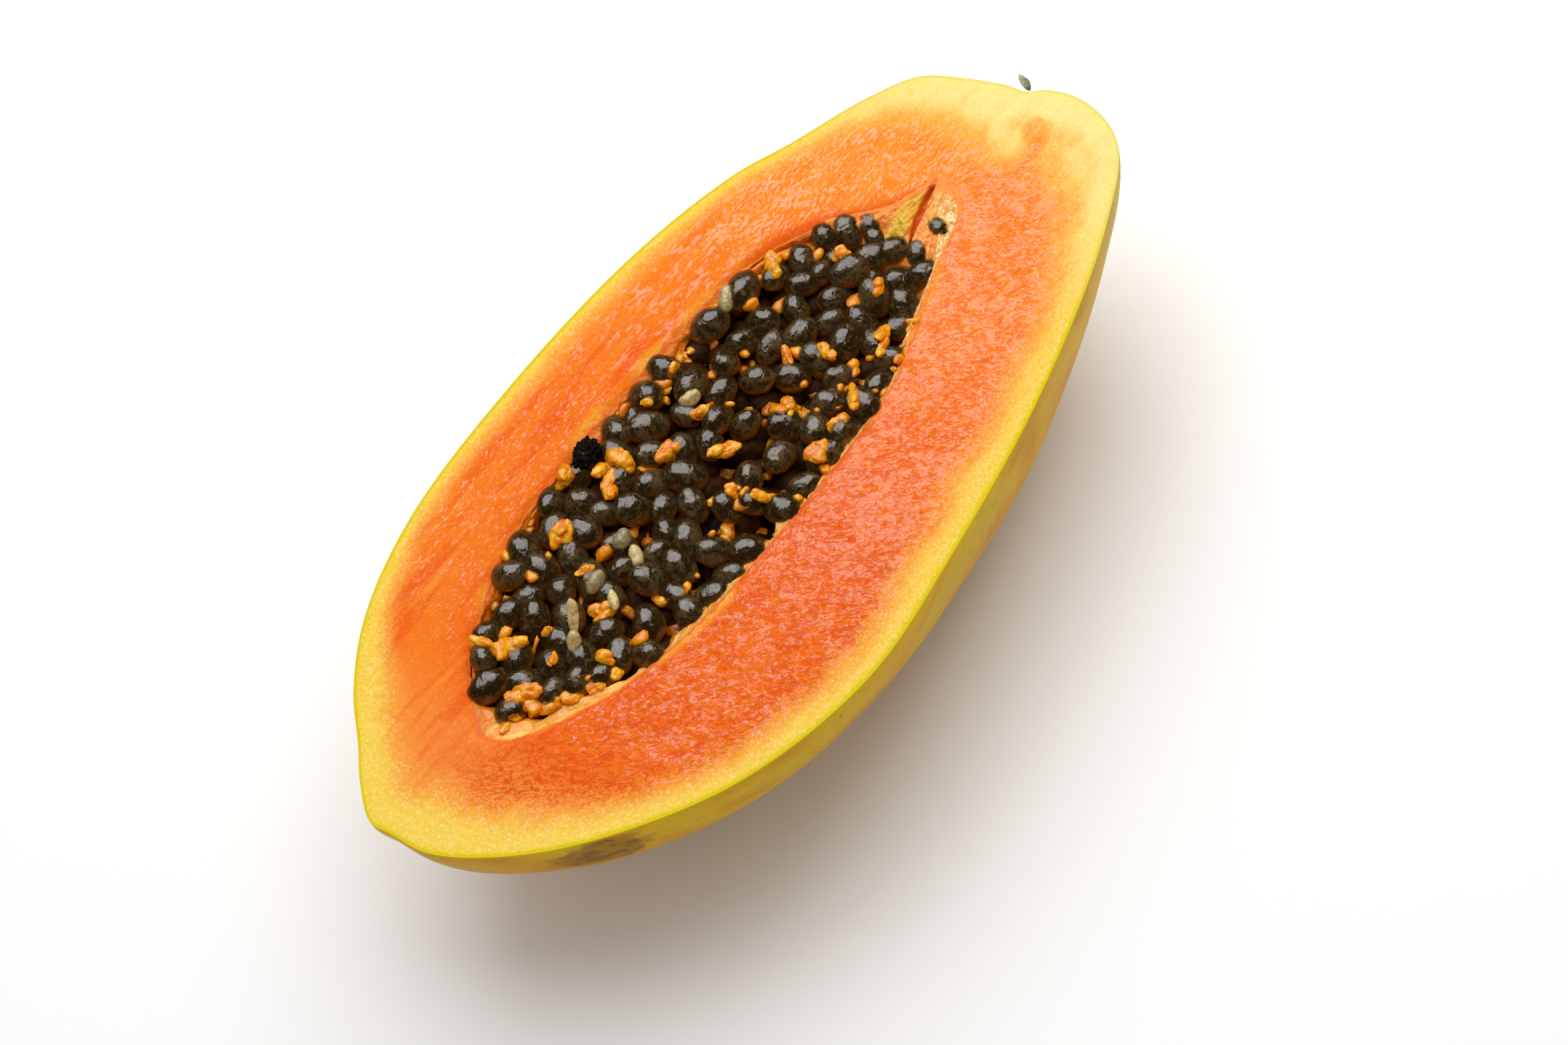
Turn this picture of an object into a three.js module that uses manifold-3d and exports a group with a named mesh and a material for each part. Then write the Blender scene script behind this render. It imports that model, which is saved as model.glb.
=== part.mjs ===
// Half of a ripe papaya, cut lengthwise, lying on its skin with the cut face up.
// Millimetres, +Z up. +X points at the stem end and +Y at the slimmer side of the flesh.
// The origin is the middle of the half's box, on the surface that it rests on.
//
// The flesh and the heap of seeds are both built from rings: every ring has one point on
// each spoke, and the spokes run out from the heart of the fruit.

import * as THREE from 'three';
import { mergeVertices } from 'three/addons/utils/BufferGeometryUtils.js';
import Module from 'manifold-3d';

const wasm = await Module();
wasm.setup();

// ---------------------------------------------------------------- driving dimensions

const HEART = new THREE.Vector2(-4, 0.7);   // where the spokes meet, over the resting flat
const SPOKES = 88;
const LOOP_POINTS = 720;        // dense points of a smooth outline
const MERGE_DISTANCE = 1e-4;    // points closer than this are one point

// Cut edge of the skin, seen from above, anticlockwise from the blossom end's nub.
const CUT_EDGE = [
  [-102, 5.7], [-100.5, -4.1], [-90, -19.5], [-73.5, -33.6], [-52, -45.3],
  [-23, -51.3], [8, -47.9], [46, -40.1], [81, -28.1], [98.8, -17.3],
  [102.6, -5.8], [100.4, 2.7],
  [98, 5.5],                                // the stem's dimple
  [97.1, 9.9], [93.6, 18.7], [89, 26.7], [79, 32.7], [62, 39.2], [49, 44.6],
  [24, 49.7], [-10.4, 51.3], [-47, 48.7], [-69.5, 41.6], [-83, 32.6],
  [-91.8, 23.3], [-97.7, 17.3], [-102.5, 10.2],
];

// Edge of the seed cavity in the cut face, from its tip near the blossom end.
const CAVITY_EDGE = [
  [-75, 2.5], [-56.6, -10], [-36, -15], [0, -16], [28, -14.2], [43.3, -9],
  [55.4, -4.8], [69.5, 0.5], [71, 7], [60.7, 12.2], [48, 22.5], [35, 28],
  [1.5, 30], [-37, 28.8], [-55.6, 22.5], [-66, 16.5],
];

const BELLY_DEPTH = 51;         // cut face to the lowest skin, before the flat is taken off
const REST_FLAT = 0.8;          // height of the slice that the resting flat takes off
const CUT_Z = BELLY_DEPTH - REST_FLAT;
const BELLY_HALF_LENGTH = 102.5;
const BELLY_HALF_WIDTH = 51;
const STEM_REACH = 4;           // the belly is this much longer towards the stem
const EDGE_FADE = 0.9;          // radians below the cut where the edge's waves have died out
const LOBES = 5;                // shallow ribs that run from end to end of the skin
const LOBE_HEIGHT = 0.7;

const CAVITY_DEPTH = 22;
const LIP_DROP = 0.9;           // the flesh rounds off into the cavity
const LIP_WIDTH = 0.12;         // share of the cut face that the rounding takes
const CRUMPLE = [0.4, 0.12];    // height of the relief on the broad side and the slim side
const CRUMPLE_SIDES = [-20, 20];  // y where the broad side ends and the slim side starts
const CRUMPLE_WAVES = [[0.62, 0.31, 0.4], [-0.35, 0.74, 2.1], [0.18, -0.57, 4.4]];

const SKIN_RINGS = 13;
const CUT_RINGS = 7;
const CUT_RING_CROWDING = 1.15; // more than 1 crowds the rings towards the cavity
const WALL_RINGS = 7;

const CORE_GAP = 0.9;           // core of the heap to the cavity's wall
const SEED_GAP = 0.5;           // seeds to the cavity's wall
const CORE_SPOKES = 32;
const CORE_RING_SHARES = [0.2, 0.42, 0.64, 0.84];
const CORE_SINK = 5.2;          // the core's top lies this far under the cut face
const PULP_RISE = 3;            // the pulp bed rises this much towards the stem end
const PULP_RISE_FROM = 38;      // x where it starts to rise
const PULP_RISE_TO = 63;        // x where it stops

const HEAP_DRAW = 41;           // start of the random draw, the same in every build
const SEED_ROWS = 8;            // rows of places to each side of the heart
const SEED_COLUMNS = 14;
const SEED_PITCH = 6.5;         // seeds lie about this far apart
const SEED_ROW_SHIFT = -2.5;    // puts the outer rows of seeds against both walls
const SEED_AXES = [3.7, 3.15, 3.05];
const SEED_SPREAD = 0.09;       // share by which seeds differ in size
const SEED_JITTER = 0.65;
const SEED_WALL_SHARE = 0.75;   // a seed's middle is at least this share of its half width inside
const SEED_SINK = 3.1;          // a seed's middle under the cut face
const SEED_LIFT_RANGE = 1.6;    // seeds differ in height by this much in all
const SEED_LEAN_RANGE = 1.2;    // and in lean, in radians
const SEED_FACET_GROWTH = 1.1;  // makes up for what the few flat sides cut off
const PULP_LUMP_SHARE = 0.11;   // share of the places taken by lumps of pulp
const PULP_LUMP_RADIUS = 2.5;
const PULP_LUMP_STRETCH = [1.3, 0.85, 0.9];
const PULP_LUMP_LIFT_RANGE = 1;

// The split in the pulp at the stem end of the cavity.
const SPLIT_ENDS = [[72, 6.5], [57, 3.5]];
const SPLIT_WIDTH = 1.8;
const SPLIT_DEPTH = 6;
const SPLIT_WIDEST = 0.55;      // share of its length from the stem end

// A dried sepal left in the stem's dimple.
const SEPAL_FOOT = new THREE.Vector3(98.8, 5.3, CUT_Z - 0.6);
const SEPAL_TIP = new THREE.Vector3(99.9, 8.9, CUT_Z + 1.3);
const SEPAL_WIDTH = 1.7;
const SEPAL_THICKNESS = 0.45;
const SEPAL_CURL = 0.35;
const SEPAL_TILT = 0.35;        // lifts the blade's outer side
const SEPAL_STEPS = 6;
const SEPAL_SIDES = 8;
const SEPAL_BASE_SHARE = 0.8;   // less than 1 puts the widest place nearer the foot
const SEPAL_CUP_SHARE = 0.6;    // share of the curl that also cups the blade across

// ---------------------------------------------------------------- helpers

const QUARTER = Math.PI / 2;

// A small seeded generator, so that the heap is the same in every build.
function seededRandom(seed) {
  let state = seed >>> 0;
  return () => {
    state = (state + 0x6d2b79f5) >>> 0;
    let mixed = Math.imul(state ^ (state >>> 15), 1 | state);
    mixed = (mixed + Math.imul(mixed ^ (mixed >>> 7), 61 | mixed)) ^ mixed;
    return ((mixed ^ (mixed >>> 14)) >>> 0) / 4294967296;
  };
}

function smoothstep(value) {
  return THREE.MathUtils.smoothstep(value, 0, 1);
}

// A closed smooth curve through the given points, as a list of dense points.
function smoothLoop(points) {
  const vectors = points.map(([x, y]) => new THREE.Vector3(x, y, 0));
  return new THREE.CatmullRomCurve3(vectors, true, 'centripetal').getSpacedPoints(LOOP_POINTS);
}

// Distance from the heart to a loop, as a function of the spoke's angle.
function reachOf(loop) {
  const polar = loop.slice(0, -1).map((point) => {
    const dx = point.x - HEART.x;
    const dy = point.y - HEART.y;
    return [Math.atan2(dy, dx), Math.hypot(dx, dy)];
  }).sort((a, b) => a[0] - b[0]);
  return (angle) => {
    const turn = Math.atan2(Math.sin(angle), Math.cos(angle));
    let next = polar.findIndex((entry) => entry[0] > turn);
    if (next < 0) next = 0;
    const [angleB, reachB] = polar[next];
    const [angleA, reachA] = polar[(next + polar.length - 1) % polar.length];
    const span = (angleB - angleA + 2 * Math.PI) % (2 * Math.PI);
    const part = ((turn - angleA + 2 * Math.PI) % (2 * Math.PI)) / span;
    return reachA + (reachB - reachA) * part;
  };
}

// Spoke angles that space the points evenly along a loop.
function spokeAngles(loop, count) {
  return Array.from({ length: count }, (_, i) => {
    const point = loop[Math.round((i / count) * (loop.length - 1))];
    return Math.atan2(point.y - HEART.y, point.x - HEART.x);
  });
}

function onSpoke(angle, reach, z) {
  return new THREE.Vector3(
    HEART.x + reach * Math.cos(angle), HEART.y + reach * Math.sin(angle), z);
}

// A closed surface from rings of equal length, with a pole at each end.
// Rings run anticlockwise seen from above, and the first pole is the upper or inner one.
function ringSolid(firstPole, rings, lastPole) {
  const count = rings[0].length;
  const points = [firstPole, ...rings.flat(), lastPole];
  const last = points.length - 1;
  const index = [];
  const at = (ring, i) => 1 + ring * count + (i % count);
  for (let i = 0; i < count; i += 1) {
    index.push(0, at(0, i), at(0, i + 1));
    for (let ring = 0; ring < rings.length - 1; ring += 1) {
      const [a, b] = [at(ring, i), at(ring, i + 1)];
      const [c, d] = [at(ring + 1, i), at(ring + 1, i + 1)];
      if ((ring + i) % 2) index.push(a, c, d, a, d, b);
      else index.push(a, c, b, b, c, d);
    }
    index.push(at(rings.length - 1, i), last, at(rings.length - 1, i + 1));
  }
  const geometry = new THREE.BufferGeometry();
  geometry.setAttribute('position', new THREE.Float32BufferAttribute(
    points.flatMap((point) => point.toArray()), 3));
  geometry.setIndex(index);
  return geometry;
}

function toManifold(geometry) {
  const bare = geometry.clone();
  bare.deleteAttribute('normal');
  bare.deleteAttribute('uv');
  const merged = mergeVertices(bare, MERGE_DISTANCE);
  return new wasm.Manifold(new wasm.Mesh({
    numProp: 3,
    vertProperties: new Float32Array(merged.attributes.position.array),
    triVerts: new Uint32Array(merged.index.array),
  }));
}

function fromManifold(solid) {
  const mesh = solid.getMesh();
  const geometry = new THREE.BufferGeometry();
  geometry.setAttribute('position', new THREE.BufferAttribute(mesh.vertProperties, 3));
  geometry.setIndex(new THREE.BufferAttribute(mesh.triVerts, 1));
  return geometry;
}

function material(color, roughness) {
  return new THREE.MeshStandardMaterial({ color, roughness, metalness: 0, flatShading: true });
}

function namedMesh(name, geometry, finish) {
  const mesh = new THREE.Mesh(geometry, finish);
  mesh.name = name;
  return mesh;
}

// ---------------------------------------------------------------- shared outlines

const cutLoop = smoothLoop(CUT_EDGE);
const cutReach = reachOf(cutLoop);
const cavityReach = reachOf(smoothLoop(CAVITY_EDGE));
const spokes = spokeAngles(cutLoop, SPOKES);

// ---------------------------------------------------------------- flesh and rind

// The plain egg shape that the skin settles into below the cut edge.
function bellyReach(angle) {
  const half = BELLY_HALF_LENGTH + STEM_REACH * Math.cos(angle);
  return (half * BELLY_HALF_WIDTH)
    / Math.hypot(BELLY_HALF_WIDTH * Math.cos(angle), half * Math.sin(angle));
}

// A point of the skin: tilt is 0 at the cut edge and a quarter turn at the lowest point.
function skinPoint(angle, tilt) {
  const settled = smoothstep(tilt / EDGE_FADE);
  const reach = THREE.MathUtils.lerp(cutReach(angle), bellyReach(angle), settled);
  const across = Math.abs(Math.sin(angle)) * Math.cos(tilt);
  const around = Math.atan2(Math.sin(tilt), Math.sin(angle) * Math.cos(tilt));
  const lobe = LOBE_HEIGHT * Math.cos(LOBES * around * 2) * settled * across;
  const point = onSpoke(angle, reach * Math.cos(tilt) + lobe, 0);
  point.z = Math.max(CUT_Z - BELLY_DEPTH * Math.sin(tilt), 0);
  return point;
}

// Low wet relief of the cut face, deeper on the broad side, flat along the skin.
function crumple(x, y, share) {
  const side = THREE.MathUtils.smoothstep(y, ...CRUMPLE_SIDES);
  const height = THREE.MathUtils.lerp(CRUMPLE[0], CRUMPLE[1], side);
  const waves = CRUMPLE_WAVES.reduce(
    (sum, [kx, ky, phase]) => sum + Math.sin(kx * x + ky * y + phase), 0);
  return (height * waves * Math.sin(Math.PI * share)) / CRUMPLE_WAVES.length;
}

// A point of the cut face: share is 0 at the cavity's edge and 1 at the skin.
function cutPoint(angle, share) {
  const reach = THREE.MathUtils.lerp(cavityReach(angle), cutReach(angle), share);
  const point = onSpoke(angle, reach, CUT_Z);
  const lip = Math.max(0, 1 - share / LIP_WIDTH);
  point.z += crumple(point.x, point.y, share) - LIP_DROP * lip * lip;
  return point;
}

// A point of a bowl that follows the cavity's wall at an even gap inside it.
function wallPoint(angle, tilt, gap) {
  const reach = (cavityReach(angle) - gap) * Math.cos(tilt);
  return onSpoke(angle, reach, CUT_Z - LIP_DROP - (CAVITY_DEPTH - gap) * Math.sin(tilt));
}

function fleshGeometry() {
  const rings = [];
  for (let k = WALL_RINGS - 1; k > 0; k -= 1) {
    rings.push(spokes.map((angle) => wallPoint(angle, (k / WALL_RINGS) * QUARTER, 0)));
  }
  for (let k = 0; k < CUT_RINGS; k += 1) {
    const share = (k / (CUT_RINGS - 1)) ** CUT_RING_CROWDING;
    rings.push(spokes.map((angle) => cutPoint(angle, share)));
  }
  for (let k = 1; k < SKIN_RINGS; k += 1) {
    rings.push(spokes.map((angle) => skinPoint(angle, (k / SKIN_RINGS) * QUARTER)));
  }
  const floor = CUT_Z - LIP_DROP - CAVITY_DEPTH;
  return ringSolid(onSpoke(0, 0, floor), rings, onSpoke(0, 0, 0));
}

// ---------------------------------------------------------------- heap of seeds

// Everything in the cavity that stays clear of its wall, up to well above the cut face.
function clearSolid() {
  const top = CUT_Z + 2 * SEED_AXES[0];
  const rings = [spokes.map((angle) => onSpoke(angle, cavityReach(angle) - SEED_GAP, top))];
  for (let k = 0; k < WALL_RINGS; k += 1) {
    const tilt = (k / WALL_RINGS) * QUARTER;
    rings.push(spokes.map((angle) => wallPoint(angle, tilt, SEED_GAP)));
  }
  const floor = onSpoke(0, 0, CUT_Z - LIP_DROP - CAVITY_DEPTH + SEED_GAP);
  return toManifold(ringSolid(onSpoke(0, 0, top), rings, floor));
}

// Height of the bed of pulp that carries the seeds.
function bedHeight(x) {
  const risen = THREE.MathUtils.smoothstep(x, PULP_RISE_FROM, PULP_RISE_TO);
  return CUT_Z - CORE_SINK + PULP_RISE * risen;
}

function coreSolid() {
  const angles = spokeAngles(cutLoop, CORE_SPOKES);
  const rings = [];
  for (const share of CORE_RING_SHARES) {
    rings.push(angles.map((angle) => {
      const point = onSpoke(angle, (cavityReach(angle) - CORE_GAP) * share, 0);
      point.z = bedHeight(point.x);
      return point;
    }));
  }
  const rimTilt = Math.asin((CORE_SINK - PULP_RISE) / CAVITY_DEPTH);
  for (let k = 0; k < WALL_RINGS; k += 1) {
    const tilt = THREE.MathUtils.lerp(rimTilt, QUARTER, k / WALL_RINGS);
    rings.push(angles.map((angle) => {
      const point = wallPoint(angle, tilt, CORE_GAP);
      if (k === 0) point.z = Math.min(point.z, bedHeight(point.x));
      return point;
    }));
  }
  const top = onSpoke(0, 0, bedHeight(HEART.x));
  const floor = onSpoke(0, 0, CUT_Z - LIP_DROP - CAVITY_DEPTH + CORE_GAP);
  return toManifold(ringSolid(top, rings, floor));
}

// A staggered grid of places inside the cavity's edge, each pushed a little by chance.
function seedPlaces(random) {
  const places = [];
  const rowPitch = SEED_PITCH * Math.sin(Math.PI / 3);
  for (let row = -SEED_ROWS; row <= SEED_ROWS; row += 1) {
    for (let column = -SEED_COLUMNS; column <= SEED_COLUMNS; column += 1) {
      const x = (column + (row % 2 ? 0.5 : 0)) * SEED_PITCH;
      const y = row * rowPitch + SEED_ROW_SHIFT;
      const jitter = () => (random() * 2 - 1) * SEED_JITTER;
      places.push([HEART.x + x + jitter(), HEART.y + y + jitter()]);
    }
  }
  return places.filter(([x, y]) => {
    const reach = cavityReach(Math.atan2(y - HEART.y, x - HEART.x));
    return Math.hypot(x - HEART.x, y - HEART.y) < reach - SEED_AXES[2] * SEED_WALL_SHARE;
  });
}

function seedSolid(x, y, random) {
  const size = 1 + (random() * 2 - 1) * SEED_SPREAD;
  const geometry = new THREE.IcosahedronGeometry(SEED_FACET_GROWTH, 0);
  const turn = new THREE.Quaternion().setFromEuler(new THREE.Euler(
    (random() - 0.5) * SEED_LEAN_RANGE, (random() - 0.5) * SEED_LEAN_RANGE,
    random() * Math.PI));
  const z = CUT_Z - SEED_SINK + (random() - 0.5) * SEED_LIFT_RANGE;
  geometry.applyMatrix4(new THREE.Matrix4().compose(
    new THREE.Vector3(x, y, z), turn,
    new THREE.Vector3(...SEED_AXES).multiplyScalar(size)));
  return toManifold(geometry);
}

function pulpLump(x, y, random) {
  const geometry = new THREE.IcosahedronGeometry(PULP_LUMP_RADIUS, 0);
  geometry.scale(...PULP_LUMP_STRETCH);
  geometry.rotateZ(random() * Math.PI);
  const z = CUT_Z - CORE_SINK + PULP_LUMP_RADIUS + random() * PULP_LUMP_LIFT_RANGE;
  geometry.translate(x, y, z);
  return toManifold(geometry);
}

// The dark split is a wedge, wide in its middle and shut at both ends.
function splitWedge() {
  const [start, end] = SPLIT_ENDS.map(([x, y]) => new THREE.Vector2(x, y));
  const along = end.clone().sub(start);
  const side = new THREE.Vector2(-along.y, along.x).normalize().multiplyScalar(SPLIT_WIDTH / 2);
  const middle = start.clone().lerp(end, SPLIT_WIDEST);
  const outline = new THREE.Shape([
    start, middle.clone().sub(side), end, middle.clone().add(side)]);
  const geometry = new THREE.ExtrudeGeometry(
    outline, { depth: 2 * SPLIT_DEPTH, bevelEnabled: false });
  geometry.translate(0, 0, CUT_Z - SPLIT_DEPTH);
  return toManifold(geometry);
}

function heapGeometry() {
  const random = seededRandom(HEAP_DRAW);
  const pieces = [coreSolid()];
  for (const [x, y] of seedPlaces(random)) {
    const lump = random() < PULP_LUMP_SHARE;
    pieces.push(lump ? pulpLump(x, y, random) : seedSolid(x, y, random));
  }
  const heap = wasm.Manifold.union(pieces).intersect(clearSolid()).subtract(splitWedge());
  const whole = heap.decompose().sort((a, b) => b.volume() - a.volume())[0];
  return fromManifold(whole);
}

// ---------------------------------------------------------------- sepal

// A thin curled blade: two faces split into triangles alike, joined round the edge.
function sepalGeometry() {
  const rings = [];
  const along = SEPAL_TIP.clone().sub(SEPAL_FOOT);
  const across = new THREE.Vector3(0, 0, 1).cross(along).normalize().negate()
    .add(new THREE.Vector3(0, 0, SEPAL_TILT)).normalize();
  const out = along.clone().normalize().cross(across).normalize();
  for (let k = 1; k < SEPAL_STEPS; k += 1) {
    const part = k / SEPAL_STEPS;
    const middle = SEPAL_FOOT.clone().addScaledVector(along, part)
      .addScaledVector(out, SEPAL_CURL * Math.sin(Math.PI * part));
    const half = (SEPAL_WIDTH / 2) * Math.sin(Math.PI * part ** SEPAL_BASE_SHARE);
    rings.push(Array.from({ length: SEPAL_SIDES }, (_, i) => {
      const turn = -(i / SEPAL_SIDES) * 2 * Math.PI;
      const side = Math.cos(turn);
      const cup = SEPAL_CURL * side * side * SEPAL_CUP_SHARE;
      return middle.clone().addScaledVector(across, half * side)
        .addScaledVector(out, (SEPAL_THICKNESS / 2) * Math.sin(turn) + cup);
    }));
  }
  return ringSolid(SEPAL_FOOT, rings, SEPAL_TIP);
}

// ---------------------------------------------------------------- the papaya half

const flesh = namedMesh('papaya_flesh', fleshGeometry(), material(0xf28a3c, 0.4));
const heap = namedMesh('seed_heap', heapGeometry(), material(0x2b2722, 0.25));
const sepal = namedMesh('calyx_scrap', sepalGeometry(), material(0x8f9a78, 0.8));

const group = new THREE.Group();
group.add(flesh, heap, sepal);

// The origin goes to the middle of the box.
const box = new THREE.Box3().setFromObject(group);
const middle = box.getCenter(new THREE.Vector3());
group.position.set(-middle.x, -middle.y, 0);

export default group;
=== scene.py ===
# %% [markdown]
# # A papaya half, from fixed frame to finished fruit
#
# A ripe papaya cut lengthwise is four materials at once: a thin waxy rind, wet flesh that
# turns from yellow to orange-red, a soft fibrous lining, and seeds that each sit in a clear
# coat of gel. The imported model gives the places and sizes. It is loaded first and never
# moved, so everything below is worked out in its frame, in metres, with Z up.

import math
from functools import partialmethod

import bmesh
import bpy
import numpy as np
from mathutils import Matrix, Vector, noise


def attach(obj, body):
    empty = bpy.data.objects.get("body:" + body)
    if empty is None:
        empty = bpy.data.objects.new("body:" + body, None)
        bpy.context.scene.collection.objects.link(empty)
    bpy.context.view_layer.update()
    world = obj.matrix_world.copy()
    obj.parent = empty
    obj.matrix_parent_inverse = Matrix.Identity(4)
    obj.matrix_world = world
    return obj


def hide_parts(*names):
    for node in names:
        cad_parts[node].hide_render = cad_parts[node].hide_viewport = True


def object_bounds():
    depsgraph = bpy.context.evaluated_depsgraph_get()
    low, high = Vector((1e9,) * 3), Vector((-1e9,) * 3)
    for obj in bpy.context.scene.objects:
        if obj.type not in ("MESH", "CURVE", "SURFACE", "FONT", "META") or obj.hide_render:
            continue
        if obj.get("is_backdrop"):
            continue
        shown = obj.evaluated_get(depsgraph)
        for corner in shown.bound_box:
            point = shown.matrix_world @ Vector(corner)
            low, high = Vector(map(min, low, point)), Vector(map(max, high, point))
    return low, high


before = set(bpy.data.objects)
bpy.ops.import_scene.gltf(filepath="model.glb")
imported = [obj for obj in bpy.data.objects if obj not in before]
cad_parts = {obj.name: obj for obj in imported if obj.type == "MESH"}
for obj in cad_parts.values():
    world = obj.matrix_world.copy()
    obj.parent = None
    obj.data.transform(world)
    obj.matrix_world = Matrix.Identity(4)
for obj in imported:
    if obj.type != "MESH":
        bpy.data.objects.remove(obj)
CAD_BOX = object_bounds()
MM = 0.001
print("nodes", sorted(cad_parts))
print("model box, mm", [[round(v / MM, 1) for v in corner] for corner in CAD_BOX])

# %% [markdown]
# ## The two outlines
#
# Seen from above, the half is two closed curves: the cut edge of the skin and the edge of
# the seed cavity. Both could be traced as dense points, but a handful of chosen points and
# a smooth closed spline say the same thing and can be read. Every surface is then built
# from rings, with one point of each ring on each spoke from the heart of the fruit.

# %% Cut edge and cavity edge, in millimetres
HEART = np.array([-4.0, 0.7])

CUT_EDGE = [
    (-102, 5.7), (-100.5, -4.1), (-90, -19.5), (-73.5, -33.6), (-52, -45.3),
    (-23, -51.3), (8, -47.9), (46, -40.1), (81, -28.1), (98.8, -17.3),
    (102.6, -5.8), (100.4, 2.7), (98, 5.5), (97.1, 9.9), (93.6, 18.7),
    (89, 26.7), (79, 32.7), (62, 39.2), (49, 44.6), (24, 49.7), (-10.4, 51.3),
    (-47, 48.7), (-69.5, 41.6), (-83, 32.6), (-91.8, 23.3), (-97.7, 17.3),
    (-102.5, 10.2),
]

CAVITY_EDGE = [
    (-75, 2.5), (-56.6, -10), (-36, -15), (0, -16), (28, -14.2), (43.3, -9),
    (55.4, -4.8), (69.5, 0.5), (71, 7), (60.7, 12.2), (48, 22.5), (35, 28),
    (1.5, 30), (-37, 28.8), (-55.6, 22.5), (-66, 16.5),
]


def smooth_loop(points, steps=40):
    """A closed centripetal Catmull-Rom curve through the points, as dense points."""
    points = np.array(points, float)
    knots = np.stack([np.roll(points, shift, axis=0) for shift in (1, 0, -1, -2)])
    gaps = np.linalg.norm(np.diff(knots, axis=0), axis=2)[..., None] ** 0.5
    before, start, end, after = knots
    lead_in = (start - before) / gaps[0] - (end - before) / (gaps[0] + gaps[1])
    lead_out = (after - end) / gaps[2] - (after - start) / (gaps[1] + gaps[2])
    slope_a = (lead_in + (end - start) / gaps[1]) * gaps[1]
    slope_b = (lead_out + (end - start) / gaps[1]) * gaps[1]
    t = np.linspace(0, 1, steps, endpoint=False)[:, None, None]
    curve = (
        start + slope_a * t
        + (-3 * start + 3 * end - 2 * slope_a - slope_b) * t**2
        + (2 * start - 2 * end + slope_a + slope_b) * t**3
    )
    return curve.transpose(1, 0, 2).reshape(-1, 2)


def reach_of(loop):
    """Distance from the heart to a loop, as a function of the spoke's angle."""
    offset = loop - HEART
    angle = np.arctan2(offset[:, 1], offset[:, 0])
    order = np.argsort(angle)
    reach = np.hypot(offset[:, 0], offset[:, 1])[order]
    return lambda at: np.interp(at, angle[order], reach, period=2 * math.pi)


cut_loop = smooth_loop(CUT_EDGE)
cut_reach = reach_of(cut_loop)
cavity_reach = reach_of(smooth_loop(CAVITY_EDGE))
print("cut edge, mm", np.ptp(cut_loop, axis=0).round(1))

# %% [markdown]
# ## Rings, spokes and shared measures
#
# A spoke is an angle at the heart. Spokes are spaced evenly along the cut edge, so that the
# far ends of the fruit get as many points as its sides. One function turns a stack of rings
# into a closed mesh, and stores any per-point measure that a material will read.

# %% Sizes of the body, in millimetres
BOX_MIDDLE = np.array([0.088, -0.022, 0.0])
BELLY_DEPTH = 51.0
REST_FLAT = 0.8
CUT_Z = BELLY_DEPTH - REST_FLAT
BELLY_HALF_LENGTH = 102.5
BELLY_HALF_WIDTH = 51.0
STEM_REACH = 4.0
EDGE_FADE = 0.9
CAVITY_DEPTH = 22.0
LIP_DROP = 0.9
RIND = 0.55
QUARTER = math.pi / 2


def even_points(loop, count):
    """Points at even distances along a closed loop."""
    closed = np.vstack([loop, loop[:1]])
    travelled = np.insert(np.cumsum(np.linalg.norm(np.diff(closed, axis=0), axis=1)), 0, 0)
    at = np.linspace(0, travelled[-1], count, endpoint=False)
    return np.stack([np.interp(at, travelled, closed[:, i]) for i in (0, 1)], axis=-1)


def spokes(count):
    """Angles that space points evenly along the cut edge."""
    offset = even_points(cut_loop, count) - HEART
    return np.arctan2(offset[:, 1], offset[:, 0])


def spoke_directions(angles):
    """The level direction of every spoke, one millimetre long."""
    return np.stack([np.cos(angles), np.sin(angles), np.zeros_like(angles)], axis=-1)


def on_spokes(angles, reach, height):
    """Points on the spokes at a reach from the heart and a height, in millimetres."""
    x = HEART[0] + reach * np.cos(angles)
    y = HEART[1] + reach * np.sin(angles)
    return np.stack([x, y, np.broadcast_to(height, x.shape)], axis=-1)


def smoothstep(value):
    """0 below 0, 1 above 1, and a smooth rise between."""
    value = np.clip(value, 0, 1)
    return value * value * (3 - 2 * value)


def ramp(value, start, run):
    """0 up to a start, then a smooth rise to 1 within a run."""
    return smoothstep((value - start) / run)


def blend(a, b, share):
    """From a at share 0 to b at share 1."""
    return a + (b - a) * share


# %% Meshes from rings
def outward(mesh):
    """Turns every face of a closed mesh outwards."""
    mesh.calc_loop_triangles()
    points = np.array([v.co for v in mesh.vertices])
    corners = points[np.array([t.vertices for t in mesh.loop_triangles])]
    volume = np.einsum("ij,ij->i", corners[:, 0], np.cross(corners[:, 1], corners[:, 2])).sum()
    if volume < 0:
        mesh.flip_normals()


def put_in_scene(name, data):
    """A new object of the scene, with its origin at the origin of the frame."""
    placed = bpy.data.objects.new(name, data)
    bpy.context.scene.collection.objects.link(placed)
    return placed


def store_measures(mesh, measures):
    """Keeps one number a point under each label, for the materials to read."""
    for label, values in measures.items():
        layer = mesh.attributes.new(label, "FLOAT", "POINT")
        layer.data.foreach_set("value", np.asarray(values, np.float32).ravel())


def make_piece(name, points, faces, measures):
    """A smooth mesh object from points in millimetres, with its per-point measures."""
    mesh = bpy.data.meshes.new(name)
    placed = (np.asarray(points) - BOX_MIDDLE) * MM
    mesh.from_pydata(placed.tolist(), [], [list(f) for f in faces])
    store_measures(mesh, measures)
    outward(mesh)
    mesh.shade_smooth()
    print(name, len(mesh.vertices), "points,", sum(len(f) - 2 for f in faces), "triangles")
    return put_in_scene(name, mesh)


def ring_faces(ring_count, size, wrap=False):
    """Quads between neighbouring rings, or right round a tube of rings."""
    pairs = ring_count if wrap else ring_count - 1
    ring, i = np.meshgrid(np.arange(pairs), np.arange(size), indexing="ij")
    after, j = (ring + 1) % ring_count, (i + 1) % size
    quads = np.stack([ring * size + i, after * size + i, after * size + j, ring * size + j], -1)
    return quads.reshape(-1, 4).tolist()


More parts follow.
